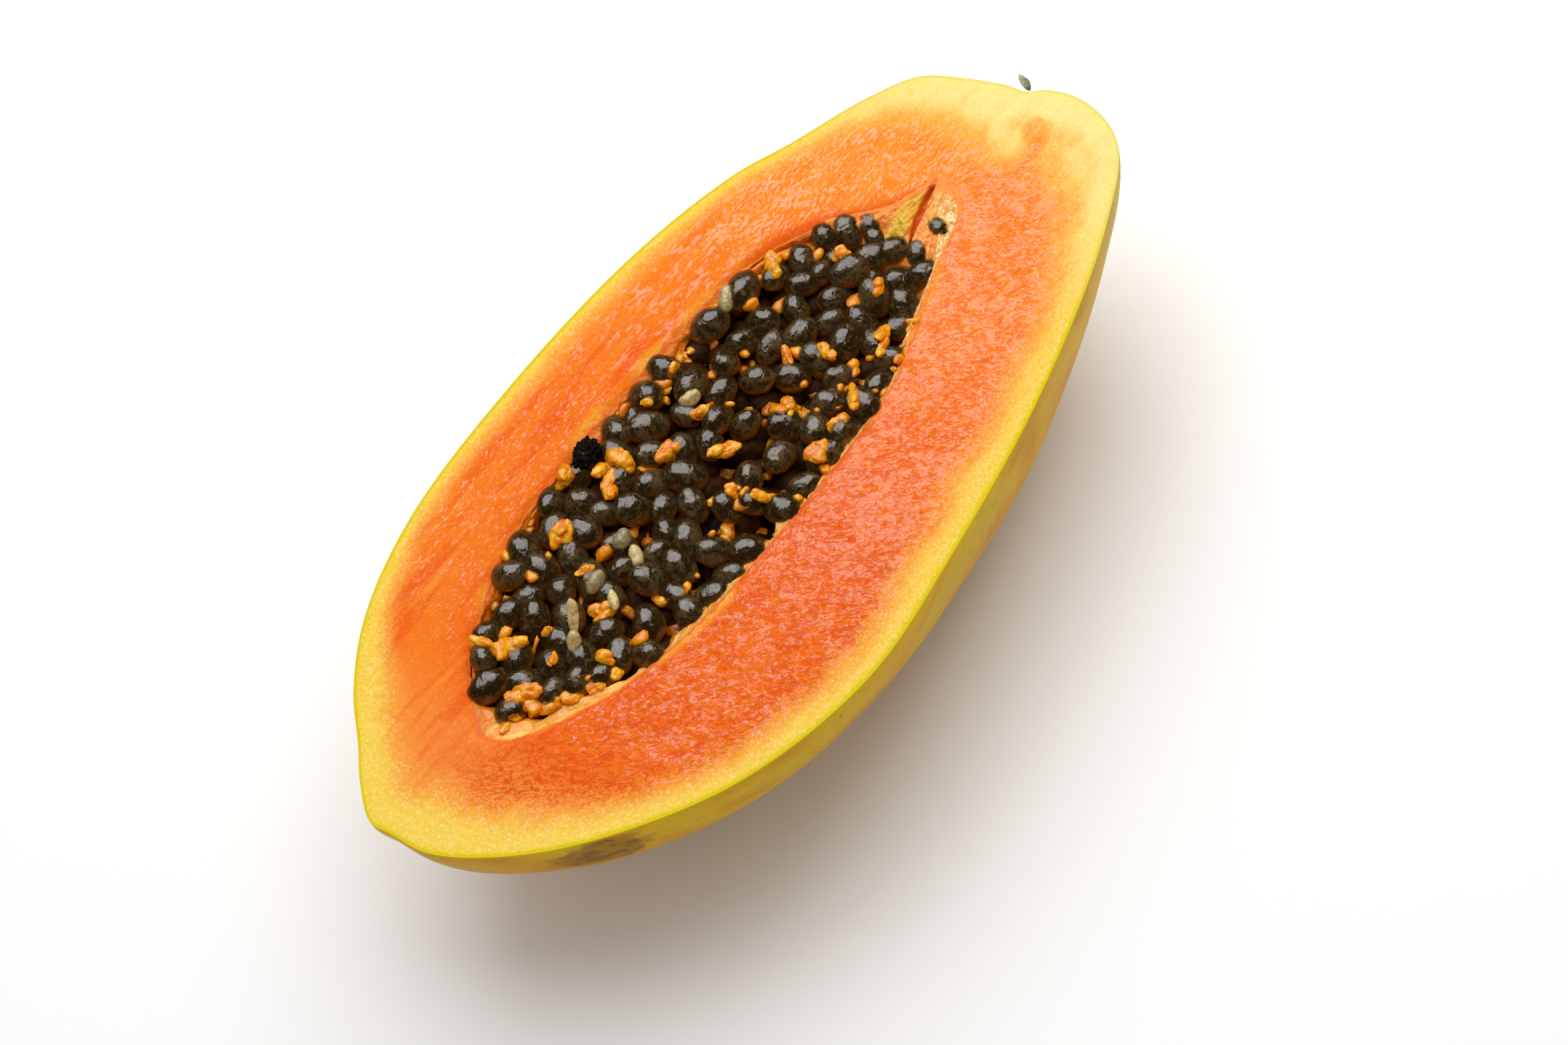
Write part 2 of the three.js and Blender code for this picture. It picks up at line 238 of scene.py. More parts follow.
def closed_rings(name, rings, measures):
    """A closed mesh from rings, with a pole at the middle of the first and the last one."""
    count, size = rings.shape[:2]
    faces = ring_faces(count, size)
    first, last = count * size, count * size + 1
    for i in range(size):
        j = (i + 1) % size
        faces.append([first, i, j])
        faces.append([last, (count - 1) * size + j, (count - 1) * size + i])
    points = np.vstack([rings.reshape(-1, 3), rings[0].mean(axis=0), rings[-1].mean(axis=0)])
    full = {
        label: np.append(values.ravel(), [values[0].mean(), values[-1].mean()])
        for label, values in measures.items()
    }
    return make_piece(name, points, faces, full)


# %% Noise over many points
def noise_field(points, size, seed, octaves):
    """Smooth noise of about -1 to 1, with lumps of the given size in millimetres."""
    offset = np.array([seed * 17.3, seed * -9.1, seed * 5.7])
    flat = (points.reshape(-1, 3) / size + offset).tolist()
    values = [noise.fractal(p, 1.0, 2.0, octaves) for p in flat]
    return np.array(values).reshape(points.shape[:-1])


def crease_field(points, size, seed, sharpness):
    """Thin winding creases: 1 along a crease and 0 away from it."""
    moved = points.copy()
    for axis in (0, 1):
        moved[..., axis] += noise_field(points, size * 1.3, seed + 3 + axis, 2) * size * 0.6
    return np.exp(-sharpness * np.abs(noise_field(moved, size, seed, 2)))

# %% [markdown]
# ## Skin, flesh and cavity wall as formulas
#
# The skin starts at the cut edge with all of that edge's waves and settles into a plain egg
# shape further down. It could be sculpted, but a formula keeps the rind and the flesh under
# it exactly parallel. The cavity is a bowl under its own edge.

# %% Where the skin and the cavity wall are
LOBES = 5
LOBE_HEIGHT = 0.7


def belly_reach(angles):
    """Reach of the belly's plain egg shape, a little longer towards the stem."""
    half = BELLY_HALF_LENGTH + STEM_REACH * np.cos(angles)
    across = np.hypot(BELLY_HALF_WIDTH * np.cos(angles), half * np.sin(angles))
    return half * BELLY_HALF_WIDTH / across


def skin_ring(angles, tilt, inset=0.0):
    """A ring of the skin: tilt is 0 at the cut edge and a quarter turn at the bottom."""
    settled = smoothstep(tilt / EDGE_FADE)
    reach = blend(cut_reach(angles), belly_reach(angles), settled) - inset
    across = np.abs(np.sin(angles)) * math.cos(tilt)
    around = np.arctan2(math.sin(tilt), np.sin(angles) * math.cos(tilt))
    lobe = LOBE_HEIGHT * np.cos(LOBES * around * 2) * settled * across
    depth = (BELLY_DEPTH - inset) * math.sin(tilt)
    return on_spokes(angles, reach * math.cos(tilt) + lobe, max(CUT_Z - depth, inset))


def wall_ring(angles, tilt, gap=0.0):
    """A ring of a bowl that follows the cavity's wall at an even gap inside it."""
    reach = (cavity_reach(angles) - gap) * math.cos(tilt)
    return on_spokes(angles, reach, CUT_Z - LIP_DROP - (CAVITY_DEPTH - gap) * math.sin(tilt))


# %% Measures of the cut face that the relief and the colours share
SLIM_TO_BROAD = 22.0
LIP_SHARE = 0.12
RING_CROWDING = 1.1


def distance_to_path(points, path):
    """Distance to a path of straight pieces, and the share travelled along it."""
    best = np.full(points.shape[:-1], 1e9)
    along = np.zeros(points.shape[:-1])
    for k in range(len(path) - 1):
        a, b = np.array(path[k]), np.array(path[k + 1])
        share = np.clip(((points[..., :2] - a) @ (b - a)) / ((b - a) @ (b - a)), 0, 1)
        gap = np.linalg.norm(points[..., :2] - (a + share[..., None] * (b - a)), axis=-1)
        nearer = gap < best
        best = np.where(nearer, gap, best)
        along = np.where(nearer, (k + share) / (len(path) - 1), along)
    return best, along


def broad_side(points):
    """1 on the broad side of the flesh, 0 on the slim side."""
    return smoothstep(0.5 - (points[..., 1] - 3) / SLIM_TO_BROAD)


def lip_drop(points):
    """How far the lip sinks into the cavity: less where the cavity closes at the stem."""
    return LIP_DROP * (1 - 0.85 * ramp(points[..., 0], 48, 16))


def lip_height(points, share):
    """The lip's own fall at a share of the way from the cavity to the rind."""
    return -lip_drop(points) * np.clip(1 - share / LIP_SHARE, 0, 1) ** 2


def end_shares(points):
    """How near a point is to the stem end and to the blossom end, from 0 to 1."""
    stem = ramp(points[..., 0], 55, 46)
    blossom = ramp(-points[..., 0], 62, 42)
    return stem, blossom


WIDE_SPOTS = [
    (-30, -12.5, 7, 3.0), (-38, -13.5, 6, 2.6), (-7, -14, 2.2, 3.6), (3.4, -12, 2.5, 2.0),
    (13, -12, 3, 2.4), (22, -11.5, 4, 2.8), (-12, 31, 5, 1.8), (7, 29.7, 5, 2.0),
    (22, 29, 6, 2.2), (-52, 23.5, 2.5, 1.4), (52, -8, 5, 1.5),
]

RIPE_SPOTS = [
    (91.7, -1.7, 2.8, 0.5), (88.8, -3.4, 2.4, 0.45), (85.6, -5.0, 2.8, 0.45),
    (85.7, 2.4, 3.6, -0.3), (90.5, 10.5, 4.0, -0.25), (84.5, 12.5, 4.0, -0.25),
    (78.5, 14.0, 4.0, -0.2), (70.0, 19.5, 6.0, 0.4), (81.0, -6.8, 4.0, 0.3),
    (-73.0, 31.0, 9.0, -0.45), (-60.0, 38.0, 8.0, -0.3),
]


def spot_sum(points, spots):
    """Adds up soft round spots, each given by x, y, spread and strength."""
    total = np.zeros(points.shape[:-1])
    for x, y, spread, strength in spots:
        off = np.hypot(points[..., 0] - x, points[..., 1] - y) / spread
        total = total + strength * smoothstep(1.5 - off)
    return total


SHELF_PATH = [(-73.9, 3.1), (-67.2, -2.1), (-59.0, -6.3), (-52.0, -10.5)]
SHELF_SPREAD = 5.0


def near_shelf(points):
    """1 along the pale shelf at the blossom end of the cavity, 0 away from it."""
    gap, along = distance_to_path(points, SHELF_PATH)
    return smoothstep(1.6 - gap / SHELF_SPREAD) * (1 - 0.55 * along)


SHEEN_BASE = -0.13
SHEEN_BROAD = 0.08
SHEEN_BROAD_UPPER = 0.10
SHEEN_SLIM_UPPER = 0.07
SHEEN_BLOSSOM = -0.22


def sheen_share(points):
    """How much of the cut face shines: about -0.3 nowhere, 0 in half of it, 0.3 all over."""
    x = points[..., 0]
    broad = broad_side(points)
    on_broad = broad * (SHEEN_BROAD + SHEEN_BROAD_UPPER * ramp(x, -30, 28))
    on_slim = (1 - broad) * SHEEN_SLIM_UPPER * ramp(x, 12, 36)
    return SHEEN_BASE + on_broad + on_slim + SHEEN_BLOSSOM * ramp(-x, 56, 20)

# %% [markdown]
# ## The flesh
#
# A cut papaya is never flat. On the broad side the knife has pulled the wet flesh into fine
# winding creases, the slim side is smoother, and the inner edge rounds off into the cavity.
# Bump alone would look painted on when seen from the side, so the creases wider than half a
# millimetre are in the mesh, and the material adds only what is finer.

# %% Relief of the cut face
CREASES = [(0.6, 9.0, 11, 14.0), (0.8, 2.6, 29, 7.0)]
CREASE_DEPTH = 0.28
LUMP_SIZE = 6.0
LUMP_HEIGHT = 0.28
GRAIN_SIZE = 1.1
GRAIN_HEIGHT = 0.12


def cut_relief(points, share):
    """Height of the relief in millimetres, and the creases alone for the colour."""
    broad = broad_side(points)
    away_from_rind = smoothstep((1 - share) * 3.2)
    creases = [
        strength * crease_field(points, size, seed, sharpness)
        for strength, size, seed, sharpness in CREASES
    ]
    creases = np.maximum(*creases) * away_from_rind * blend(0.25, 1.0, broad)
    lumps = noise_field(points, LUMP_SIZE, 5, 3) * blend(0.35, 1.0, broad)
    grain = noise_field(points, GRAIN_SIZE, 8, 2)
    height = -CREASE_DEPTH * creases + away_from_rind * LUMP_HEIGHT * lumps
    height = height + GRAIN_HEIGHT * grain * smoothstep((1 - share) * 8)
    return height, creases


# %% Build the flesh
FLESH_SPOKES = 860
CUT_RINGS = 68
WALL_RINGS = 16
UNDER_RINGS = 9
EDGE_SHARE = 0.997
UNDER_GAP = 0.02
FAR_FROM_RIM = 25
FAR_FROM_CAVITY = 30


def build_flesh():
    """Rings up the cavity's wall, across the cut face and down under the rind."""
    angles = spokes(FLESH_SPOKES)
    wall = [wall_ring(angles, t) for t in np.linspace(QUARTER * 0.96, 0.04, WALL_RINGS)]
    share = np.linspace(0, 1, CUT_RINGS - 1) ** RING_CROWDING
    share = np.insert(share, -1, EDGE_SHARE)[:, None]
    reach = blend(cavity_reach(angles)[None], cut_reach(angles)[None] - RIND, share)
    face = on_spokes(np.broadcast_to(angles, reach.shape), reach, CUT_Z)
    height, creases = cut_relief(face, np.broadcast_to(share, reach.shape))
    face[..., 2] += height + lip_height(face, share)
    tilts = np.linspace(0.03, QUARTER * 0.97, UNDER_RINGS)
    under = [skin_ring(angles, t, RIND + UNDER_GAP) for t in tilts]
    rings = np.concatenate([wall, face, under])

    def all_round(values, on_wall, on_under):
        """Measures of the face, with one value for all of the wall and one for underneath."""
        ends = ((on_wall, on_under), (0, 0))
        return np.pad(values, ((WALL_RINGS, UNDER_RINGS), (0, 0)), constant_values=ends)

    stem, blossom = end_shares(rings)
    measures = {
        "rim_mm": all_round(cut_reach(angles)[None] - reach, FAR_FROM_RIM, 0),
        "cavity_mm": all_round(reach - cavity_reach(angles)[None], 0, FAR_FROM_CAVITY),
        "crease": all_round(creases, 0, 0),
        "broad": broad_side(rings), "stem": stem, "blossom": blossom,
        "upper": ramp(rings[..., 0], -15, 85), "sheen": sheen_share(rings),
        "ripe_spot": spot_sum(rings, RIPE_SPOTS),
        "fringe": np.clip(spot_sum(rings, WIDE_SPOTS) / 2.0, 0, 1),
    }
    return closed_rings("flesh", rings, measures)


flesh = build_flesh()

# %% [markdown]
# ## The rind
#
# The rind is a real shell, half a millimetre thick, because its cut edge shows all round the
# half as a thin bright line. It could be a stripe of colour on the flesh, but then the line
# would blur where the flesh curves, and the underside would have no thickness.

# %% Build the rind
RIND_SPOKES = 520
RIND_OUTER_RINGS = 84
RIND_INNER_RINGS = 14
DENT_HEIGHT = 0.35
CORNER = 0.07


def build_rind():
    """Rings up the inside of the shell, over its cut edge and down the skin."""
    angles = spokes(RIND_SPOKES)
    inner = [skin_ring(angles, t, RIND) for t in np.linspace(QUARTER * 0.97, 0, RIND_INNER_RINGS)]
    inner += [skin_ring(angles, 0, RIND - CORNER), skin_ring(angles, 0, CORNER)]
    tilts = np.linspace(0, 0.985, RIND_OUTER_RINGS) * QUARTER
    tilts = np.insert(tilts, 1, CORNER / BELLY_DEPTH)
    outer = np.array([skin_ring(angles, t) for t in tilts])
    fade = smoothstep(np.sin(tilts) * 6)[:, None] * smoothstep(outer[..., 2] / 6)
    dents = noise_field(outer, 26, 3, 2) * DENT_HEIGHT * fade
    outer += dents[..., None] * spoke_directions(angles)
    rings = np.concatenate([np.array(inner), outer])
    down = np.zeros(rings.shape[:2])
    down[len(inner):] = tilts[:, None] / QUARTER
    cut = np.zeros(rings.shape[:2])
    cut[len(inner) - 3:len(inner) + 2] = 1
    stem, blossom = end_shares(rings)
    measures = {"down": down, "cut": cut, "stem": stem, "blossom": blossom}
    return closed_rings("rind", rings, measures)


rind = build_rind()

# %% [markdown]
# ## Graphs as expressions
#
# Materials and Geometry Nodes are both graphs. Built node by node they are long and hard to
# follow, so one small class wraps an output socket and lets Python arithmetic add the Math
# nodes, and one method adds every other kind of node.

# %% A socket that takes part in arithmetic
class Value:
    """One output of a node, which becomes a Math node wherever it meets an operator."""

    def __init__(self, graph, node, output=0):
        self.graph = graph
        self.node = node
        self.socket = node.outputs[output] if node.outputs else None

    def out(self, name):
        return Value(self.graph, self.node, name)

    def math(self, operation, *others):
        return self.graph.node("ShaderNodeMath", {"operation": operation}, self, *others)

    def math_after(self, operation, first):
        return self.graph.node("ShaderNodeMath", {"operation": operation}, first, self)

    def rise(self, low, high):
        """0 below low, 1 above high, and a smooth rise between."""
        settings = {"interpolation_type": "SMOOTHSTEP"}
        return self.graph.node("ShaderNodeMapRange", settings, self, low, high, 0.0, 1.0)

    def fall(self, low, high):
        return 1 - self.rise(low, high)

    __add__ = partialmethod(math, "ADD")
    __sub__ = partialmethod(math, "SUBTRACT")
    __mul__ = partialmethod(math, "MULTIPLY")
    __truediv__ = partialmethod(math, "DIVIDE")
    __radd__ = partialmethod(math_after, "ADD")
    __rsub__ = partialmethod(math_after, "SUBTRACT")
    __rmul__ = partialmethod(math_after, "MULTIPLY")
    __rtruediv__ = partialmethod(math_after, "DIVIDE")


class Graph:
    """A node tree that grows by expressions."""

    def __init__(self, tree):
        self.tree = tree

    def feed(self, socket, value):
        if isinstance(value, Value):
            self.tree.links.new(value.socket, socket)
        else:
            socket.default_value = value

    def node(self, kind, *inputs, **named):
        """Adds a node: its settings first, if any, then its sockets by place or by name."""
        node = self.tree.nodes.new(kind)
        if inputs and isinstance(inputs[0], dict):
            settings, *inputs = inputs
            for label, setting in settings.items():
                setattr(node, label, setting)
        for socket, value in zip(node.inputs, inputs):
            self.feed(socket, value)
        for label, value in named.items():
            self.feed(node.inputs[label.replace("_", " ")], value)
        return Value(self, node)


# %% [markdown]
# ## A finish for every surface
#
# A finish is a material with a few shared tools: colours named as they look on screen,
# coats laid one over another, noise measured in millimetres, and the mesh's own measures.
# Every pattern reads object coordinates or a measure, so it stays put from every side.

# %% Colours and the finish class
def seen(red, green, blue):
    """A colour as it looks on a screen, turned into linear light."""
    linear = [((v / 255 + 0.055) / 1.055) ** 2.4 if v > 10 else v / 3294.6
              for v in (red, green, blue)]
    return (*linear, 1.0)


class Finish(Graph):
    """A material; each measure that it names is read from the mesh as a value of its own."""

    def __init__(self, name, *measures):
        self.material = bpy.data.materials.new(name)
        self.material.use_nodes = True
        super().__init__(self.material.node_tree)
        self.tree.nodes.clear()
        self.place = self.node("ShaderNodeTexCoord").out("Object")
        for measure in measures:
            attribute = self.node("ShaderNodeAttribute", {"attribute_name": measure})
            setattr(self, measure, attribute.out("Fac"))

    def scaled_place(self, size, stretch=(1, 1, 1), shift=0.0, turn=0.0):
        place = self.place
        if turn:
            settings = {"rotation_type": "Z_AXIS"}
            place = self.node("ShaderNodeVectorRotate", settings, Vector=place, Angle=turn)
        factor = tuple(1 / (size * MM * s) for s in stretch)
        settings = {"operation": "MULTIPLY_ADD"}
        return self.node("ShaderNodeVectorMath", settings, place, factor, (shift,) * 3)

    def noise(self, size, detail=3.0, twist=0.0, kind="FBM", **where):
        """Noise with lumps of a size in millimetres; about 0.5 on average."""
        return self.node("ShaderNodeTexNoise", {"noise_type": kind}, Scale=1.0, Detail=detail,
                         Vector=self.scaled_place(size, **where), Distortion=twist)

    def swing(self, *shape, **where):
        """The same noise, about 0 on average."""
        return self.noise(*shape, **where) - 0.5

    def specks(self, size, radius, shift):
        """1 in small spots about a size in millimetres apart, 0 between them."""
        cells = self.node("ShaderNodeTexVoronoi", Scale=1.0,
                          Vector=self.scaled_place(size, shift=shift))
        return cells.out("Distance").fall(radius * 0.5, radius)

    def mix(self, share, first, second):
        """One colour or value turning into another; plain colours are as seen on screen."""
        mixer = self.node("ShaderNodeMix", {"data_type": "RGBA"})
        for index, value in ((0, share), (6, first), (7, second)):
            value = seen(*value) if isinstance(value, tuple) else value
            self.feed(mixer.node.inputs[index], value)
        return Value(self, mixer.node, 2)

    def coats(self, colour, *coats):
        """Lays coats over a colour, each given by its share and its own colour."""
        for share, coat in coats:
            colour = self.mix(share, colour, coat)
        return colour

    def bumps(self, *layers):
        """Bumps one under another, each a height, its depth in millimetres and a strength."""
        under = {}
        for height, depth, strength in layers:
            under["Normal"] = self.node("ShaderNodeBump", Strength=strength,
                                        Distance=depth * MM, Height=height, **under)
        return under["Normal"]

    def surface(self, colour, roughness, **named):
        return self.node("ShaderNodeBsdfPrincipled", Base_Color=colour, Roughness=roughness,
                         **named)

    def close(self, surface):
        self.node("ShaderNodeOutputMaterial", surface)
        return self.material


def dress(piece, material):
    """Gives a piece its one material."""
    piece.data.materials.clear()
    piece.data.materials.append(material)
    print(piece.name, "is dressed in", material.name)

# %% [markdown]
# ## Finish of the flesh
#
# Ripening runs from the skin inwards: a pale yellow band under the rind, then orange, then
# a salmon red at the seeds. The band is thin on the slim side and very wide at both ends.
# The mesh carries each point's distance from the rind and from the cavity, so the colours
# follow the fruit's own shape.
#
# Where the knife tore the flesh it is matt and darker, and where juice stands it shines. One
# surface of middling gloss would give neither, so a dry and a wet surface are mixed.

# %% Flesh: ripeness
FLESH_MEASURES = (
    "rim_mm", "cavity_mm", "broad", "stem", "blossom", "upper", "sheen", "crease", "ripe_spot",
    "fringe",
)


def ripen(f):
    """Adds what colour and wetness share: three patterns, how ripe, and how far inside."""
    f.slim = 1 - f.broad
    f.blotch = f.swing(11, 4, 0.4)
    f.fine = f.swing(1.2, 3, 0.4, shift=5)
    f.streak = f.swing(2.4, 4, 0.5, stretch=(8, 1, 8), shift=9)
    band = 3.2 + f.broad * (2.3 + 2.7 * f.upper) + 9.5 * f.stem + 8.5 * f.blossom
    ripe = f.rim_mm / band + f.blotch * (0.8 + f.stem * 1.2) + f.fine * 0.12 + f.streak * 0.5
    f.ripe = ripe + f.ripe_spot * (0.8 + f.streak * 2)
    f.inner = f.ripe.rise(0.7, 1.9)


def pale_colour(f):
    """The unripe band under the rind, greener and then yellower towards its edge."""
    greenish = (f.rim_mm + f.fine * 1.5).fall(0.5, 2.6 + 2 * f.stem)
    edge_line = (f.rim_mm + f.fine * 0.6).fall(0.6, 1.5) * (1 - f.stem) * (0.2 + f.broad * 0.8)
    return f.coats(
        f.mix(f.broad, (252, 204, 72), (250, 206, 82)),
        (f.stem, (254, 234, 150)),
        (f.blossom, (248, 210, 80)),
        (greenish * 0.6, f.mix(f.stem, (240, 212, 52), (240, 234, 130))),
        (edge_line * 0.85, (232, 204, 12)),
    )


def ripe_colour(f):
    """The dry flesh from the rind to the seeds, with its streaks, veins and flushes."""
    amber = f.mix(f.stem, (250, 162, 56), (252, 180, 58))
    deep = f.mix(f.broad, (248, 120, 22), (243, 110, 16))
    red = f.mix(f.broad, (240, 102, 10), (236, 100, 22))
    tip = f.blossom.rise(0.03, 0.4)
    near_seeds = f.cavity_mm.fall(1, 12) * (1 - f.stem) * (1 - tip * 0.9)
    near_seeds = near_seeds * (0.45 + f.blotch * 1.6).rise(0, 0.8)
    lighter = (0.5 + f.streak * 1.8 + f.fine * 0.5).rise(0.55, 0.9) * f.slim * f.inner
    veins = (f.noise(3.2, 3, 0.3, stretch=(9, 1, 9), shift=13) + f.slim * 0.06).rise(0.42, 0.85)
    flush = f.noise(3.6, 3, 0.5, stretch=(7, 1, 7), shift=15).rise(0.5, 0.68) * f.slim * f.inner
    return f.coats(
        pale_colour(f),
        (f.ripe.rise(0.35, 1.2), amber),
        (f.ripe.rise(0.95, 2.3), f.mix(f.upper * 0.75, deep, (250, 142, 28))),
        (near_seeds, f.mix(f.upper * 0.6, red, (248, 130, 26))),
        (tip * f.inner * 0.5, (250, 148, 66)),
        (lighter * 0.5, (254, 150, 52)),
        (veins * f.upper.rise(0.6, 1.0) * 0.3, (254, 192, 92)),
        (flush * (1 - f.upper * 0.8) * 0.6, (238, 80, 12)),
    )


# %% Flesh: torn grooves and standing juice
ACROSS_TURN = math.radians(50)


def torn_lines(f, size, width, turn, shift):
    """Short broken creases that run one way."""
    lines = f.swing(size, 2.5, 0.9, stretch=(2.4, 1, 1), shift=shift, turn=turn)
    flats = lines.math("ABSOLUTE").rise(0.0, width)
    return (1 - flats) * f.noise(size * 1.5, 2, 0.3, shift=shift + 1).rise(0.38, 0.54)


def tear(f):
    """Adds the grooves that the knife tore, which are dull on the broad side."""
    rough = 0.45 + f.noise(9, 2, 0.5, shift=25).rise(0.36, 0.60) * 0.55
    across = torn_lines(f, 1.9, 0.06, ACROSS_TURN, 21)
    across = (across + torn_lines(f, 1.0, 0.075, ACROSS_TURN, 31) * 0.9) * rough
    along = torn_lines(f, 1.7, 0.06, 0.0, 41)
    lines = f.mix(f.cavity_mm.fall(2.5, 8), across, along).math("MINIMUM", 1.0)
    pits = f.noise(3.2, 5, 0.9, stretch=(1.5, 1, 1), shift=51, turn=ACROSS_TURN).rise(0.72, 0.82)
    etched = f.noise(0.8, 4, 1.5, stretch=(1.4, 1, 1), shift=95, turn=ACROSS_TURN)
    etched = etched.rise(0.52, 0.6) * (0.25 + rough * 0.4)
    torn = (lines * 1.4 + pits + etched + f.crease.rise(0.5, 0.9)).math("MINIMUM", 1.0)
    f.dull = torn * f.broad
    f.groove = torn * (1 - f.upper * 0.3)


def moisten(f):
    """Adds the ripple of the surface and where it stands in juice."""
    ripple = f.noise(0.95, 5, 1.1, stretch=(1.8, 1, 1), shift=61, turn=ACROSS_TURN)
    glints = f.noise(0.62, 3, 0.5, stretch=(2.2, 1, 1), shift=71)
    folds = f.noise(1.5, 5, 1.2, stretch=(2.6, 1, 1), shift=73) + 0.05
    half_way = f.upper.rise(0.0, 0.15) * f.upper.fall(0.5, 0.9)
    f.ripple = f.mix(f.slim, ripple, f.mix(half_way * 0.75, glints, folds))
    patchy = f.swing(3.2, 3, 0.8, stretch=(1.8, 1, 1), shift=91, turn=ACROSS_TURN)
    shine = (f.ripple + patchy * 0.35 + f.sheen).rise(0.42, 0.56)
    f.wet = shine * f.inner * (1 - f.dull * 0.9)


# %% Flesh finish
def flesh_finish():
    """A dry and a wet surface of one colour, mixed by where juice stands."""
    f = Finish("cut flesh", *FLESH_MEASURES)
    for add in (ripen, tear, moisten):
        add(f)
    lip = f.cavity_mm.fall(1.2, 4.2) * f.slim * f.upper.rise(0.42, 0.75) * f.stem.fall(0.05, 0.5)
    lip = lip * (0.6 + f.blotch + f.fine).rise(0.2, 0.6)
    shreds = f.fringe * (f.cavity_mm + f.fine * 3 + f.blotch * 4).fall(0.6, 4.6)
    grain = f.specks(0.9, 0.36, 11) * (0.5 + f.fine).rise(0.38, 0.6) * (1 - f.inner)
    sandy = f.noise(0.6, 3, 0.4, shift=81)
    outside = (1 - f.inner * 0.7) * (1 - f.stem * 0.5) * 0.22
    colour = f.coats(
        ripe_colour(f),
        (f.wet * (0.35 + f.broad * 0.45), f.mix(f.upper, (216, 90, 6), (240, 120, 4))),
        (f.groove * f.broad * f.inner, f.mix(f.upper, (230, 82, 4), (246, 108, 20))),
        (lip * 0.85, (236, 88, 6)),
        (shreds, f.mix(f.fine.rise(-0.1, 0.12), (248, 150, 34), (250, 176, 56))),
        (grain * 0.5, (255, 238, 170)),
        (sandy.rise(0.5, 0.66) * outside, (255, 244, 186)),
        (sandy.fall(0.34, 0.5) * outside, (240, 164, 30)),
    )
    wet = f.wet * (1 - lip) * (1 - shreds * 0.7) * (1 - f.slim * f.cavity_mm.fall(0.2, 2.0))
    normal = f.bumps(
        (1 - f.groove * f.inner, 0.03, 0.9),
        (f.ripple * f.inner * (0.5 + f.broad * 0.5 + f.upper * 0.5), 0.04, 0.8),
        (f.noise(1.3, 3, 0.5, shift=33) * (0.35 + f.slim * 0.65), 0.14, 0.8),
        (f.noise(0.5, 3, 0.3, shift=31), 0.03, 0.8),
    )
    dry_surface = f.surface(colour, 0.7, Normal=normal, Specular_IOR_Level=0.03)
    wet_surface = f.surface(colour, 0.24 + f.upper * 0.10 + f.fine * 0.1, Normal=normal, IOR=1.42)
    return f.close(f.node("ShaderNodeMixShader", wet, dry_surface, wet_surface))


dress(flesh, flesh_finish())

# %% [markdown]
# ## Finish of the rind
#
# The rind is waxy, olive gold and mottled, greener where less ripe, with small brown
# freckles and one bruised patch low on the broad side. The cut edge is the brightest part.

# %% Rind finish
BRUISE = (-79, -29, 43)
BRUISE_SIZE = (15, 9, 8)


def bruise_reach(f):
    """Distance from the bruise's middle, as a share of its size."""
    share = tuple(1 / (size * MM) for size in BRUISE_SIZE)
    back = tuple(-place / size for place, size in zip(BRUISE, BRUISE_SIZE))
    offset = f.node("ShaderNodeVectorMath", {"operation": "MULTIPLY_ADD"}, f.place, share, back)
    return f.node("ShaderNodeVectorMath", {"operation": "LENGTH"}, offset).out("Value")


def rind_finish():
    """Mottled wax with freckles and a bruise, and a bright cut edge."""
    f = Finish("waxy rind", "down", "cut", "stem", "blossom")
    mottle = f.swing(14, 5, 0.6, stretch=(1.8, 1, 1))
    fine = f.swing(2.2, 4, 0.4, shift=7)
    greener = (0.46 + mottle * 1.5 + f.down * 0.25 - f.blossom * 0.2 + fine * 0.4).rise(0.5, 0.9)
    low = (f.down + mottle * 0.4 + fine * 0.3).rise(0.1, 0.5)
    freckle = f.specks(3.4, 0.14, 2) * (0.5 + fine + mottle).rise(0.45, 0.7)
    bruise = (bruise_reach(f) + mottle * 1.4 + fine * 1.1).fall(0.45, 1.05)
    streaks = f.noise(2.6, 4, 0.5, stretch=(3, 1, 1), shift=9).rise(0.42, 0.62)
    colour = f.coats(
        f.mix((0.5 + mottle * 1.6).rise(0.2, 0.8), (210, 148, 4), (230, 184, 12)),
        (greener * 0.45, (158, 156, 10)),
        (f.stem * 0.35, (214, 196, 60)),
        (low * (0.3 + f.blossom * 0.4), (198, 130, 10)),
        (freckle * 0.7, (110, 74, 20)),
        (bruise * 0.7, f.mix(streaks, (150, 98, 10), (70, 42, 8))),
        (f.cut, f.mix(f.stem, (228, 200, 8), (236, 224, 120))),
    )
    normal = f.bumps((mottle, 0.8, 0.5), (f.noise(0.7, 2, 0.2, shift=4), 0.06, 0.6))
    rough = 0.42 + fine * 0.2 + f.cut * 0.4
    return f.close(f.surface(colour, rough, Normal=normal, Specular_IOR_Level=0.08))


dress(rind, rind_finish())

# %% [markdown]
# ## The pulp bed
#
# Under the seeds is the soft lining that carries them. Most of it is in deep shade, so it is
# one low relief: a bowl that follows the cavity's wall, closed by a lumpy top which climbs
# towards the stem.

# %% Build the pulp bed
BED_DEPTH = 9.5
BED_RISE = 6.0
BED_RISE_START = 42
BED_RISE_RUN = 16
SLANT = 0.05
BANK_WIDTH = 5.0
BANK_TOP = 1.5
SHELF_WIDTH = 5.0
BED_SPOKES = 480
BED_RINGS = 64
BED_RING_RUNS = [(0.3, 9), (9.6, 90)]
BOWL_RINGS = 9
BOWL_GAP = 0.35


def bed_height(x, y):
    """Height of the open part of the pulp bed, in millimetres."""
    rise = BED_RISE * ramp(x, BED_RISE_START, BED_RISE_RUN)
    return CUT_Z - BED_DEPTH + rise + SLANT * y


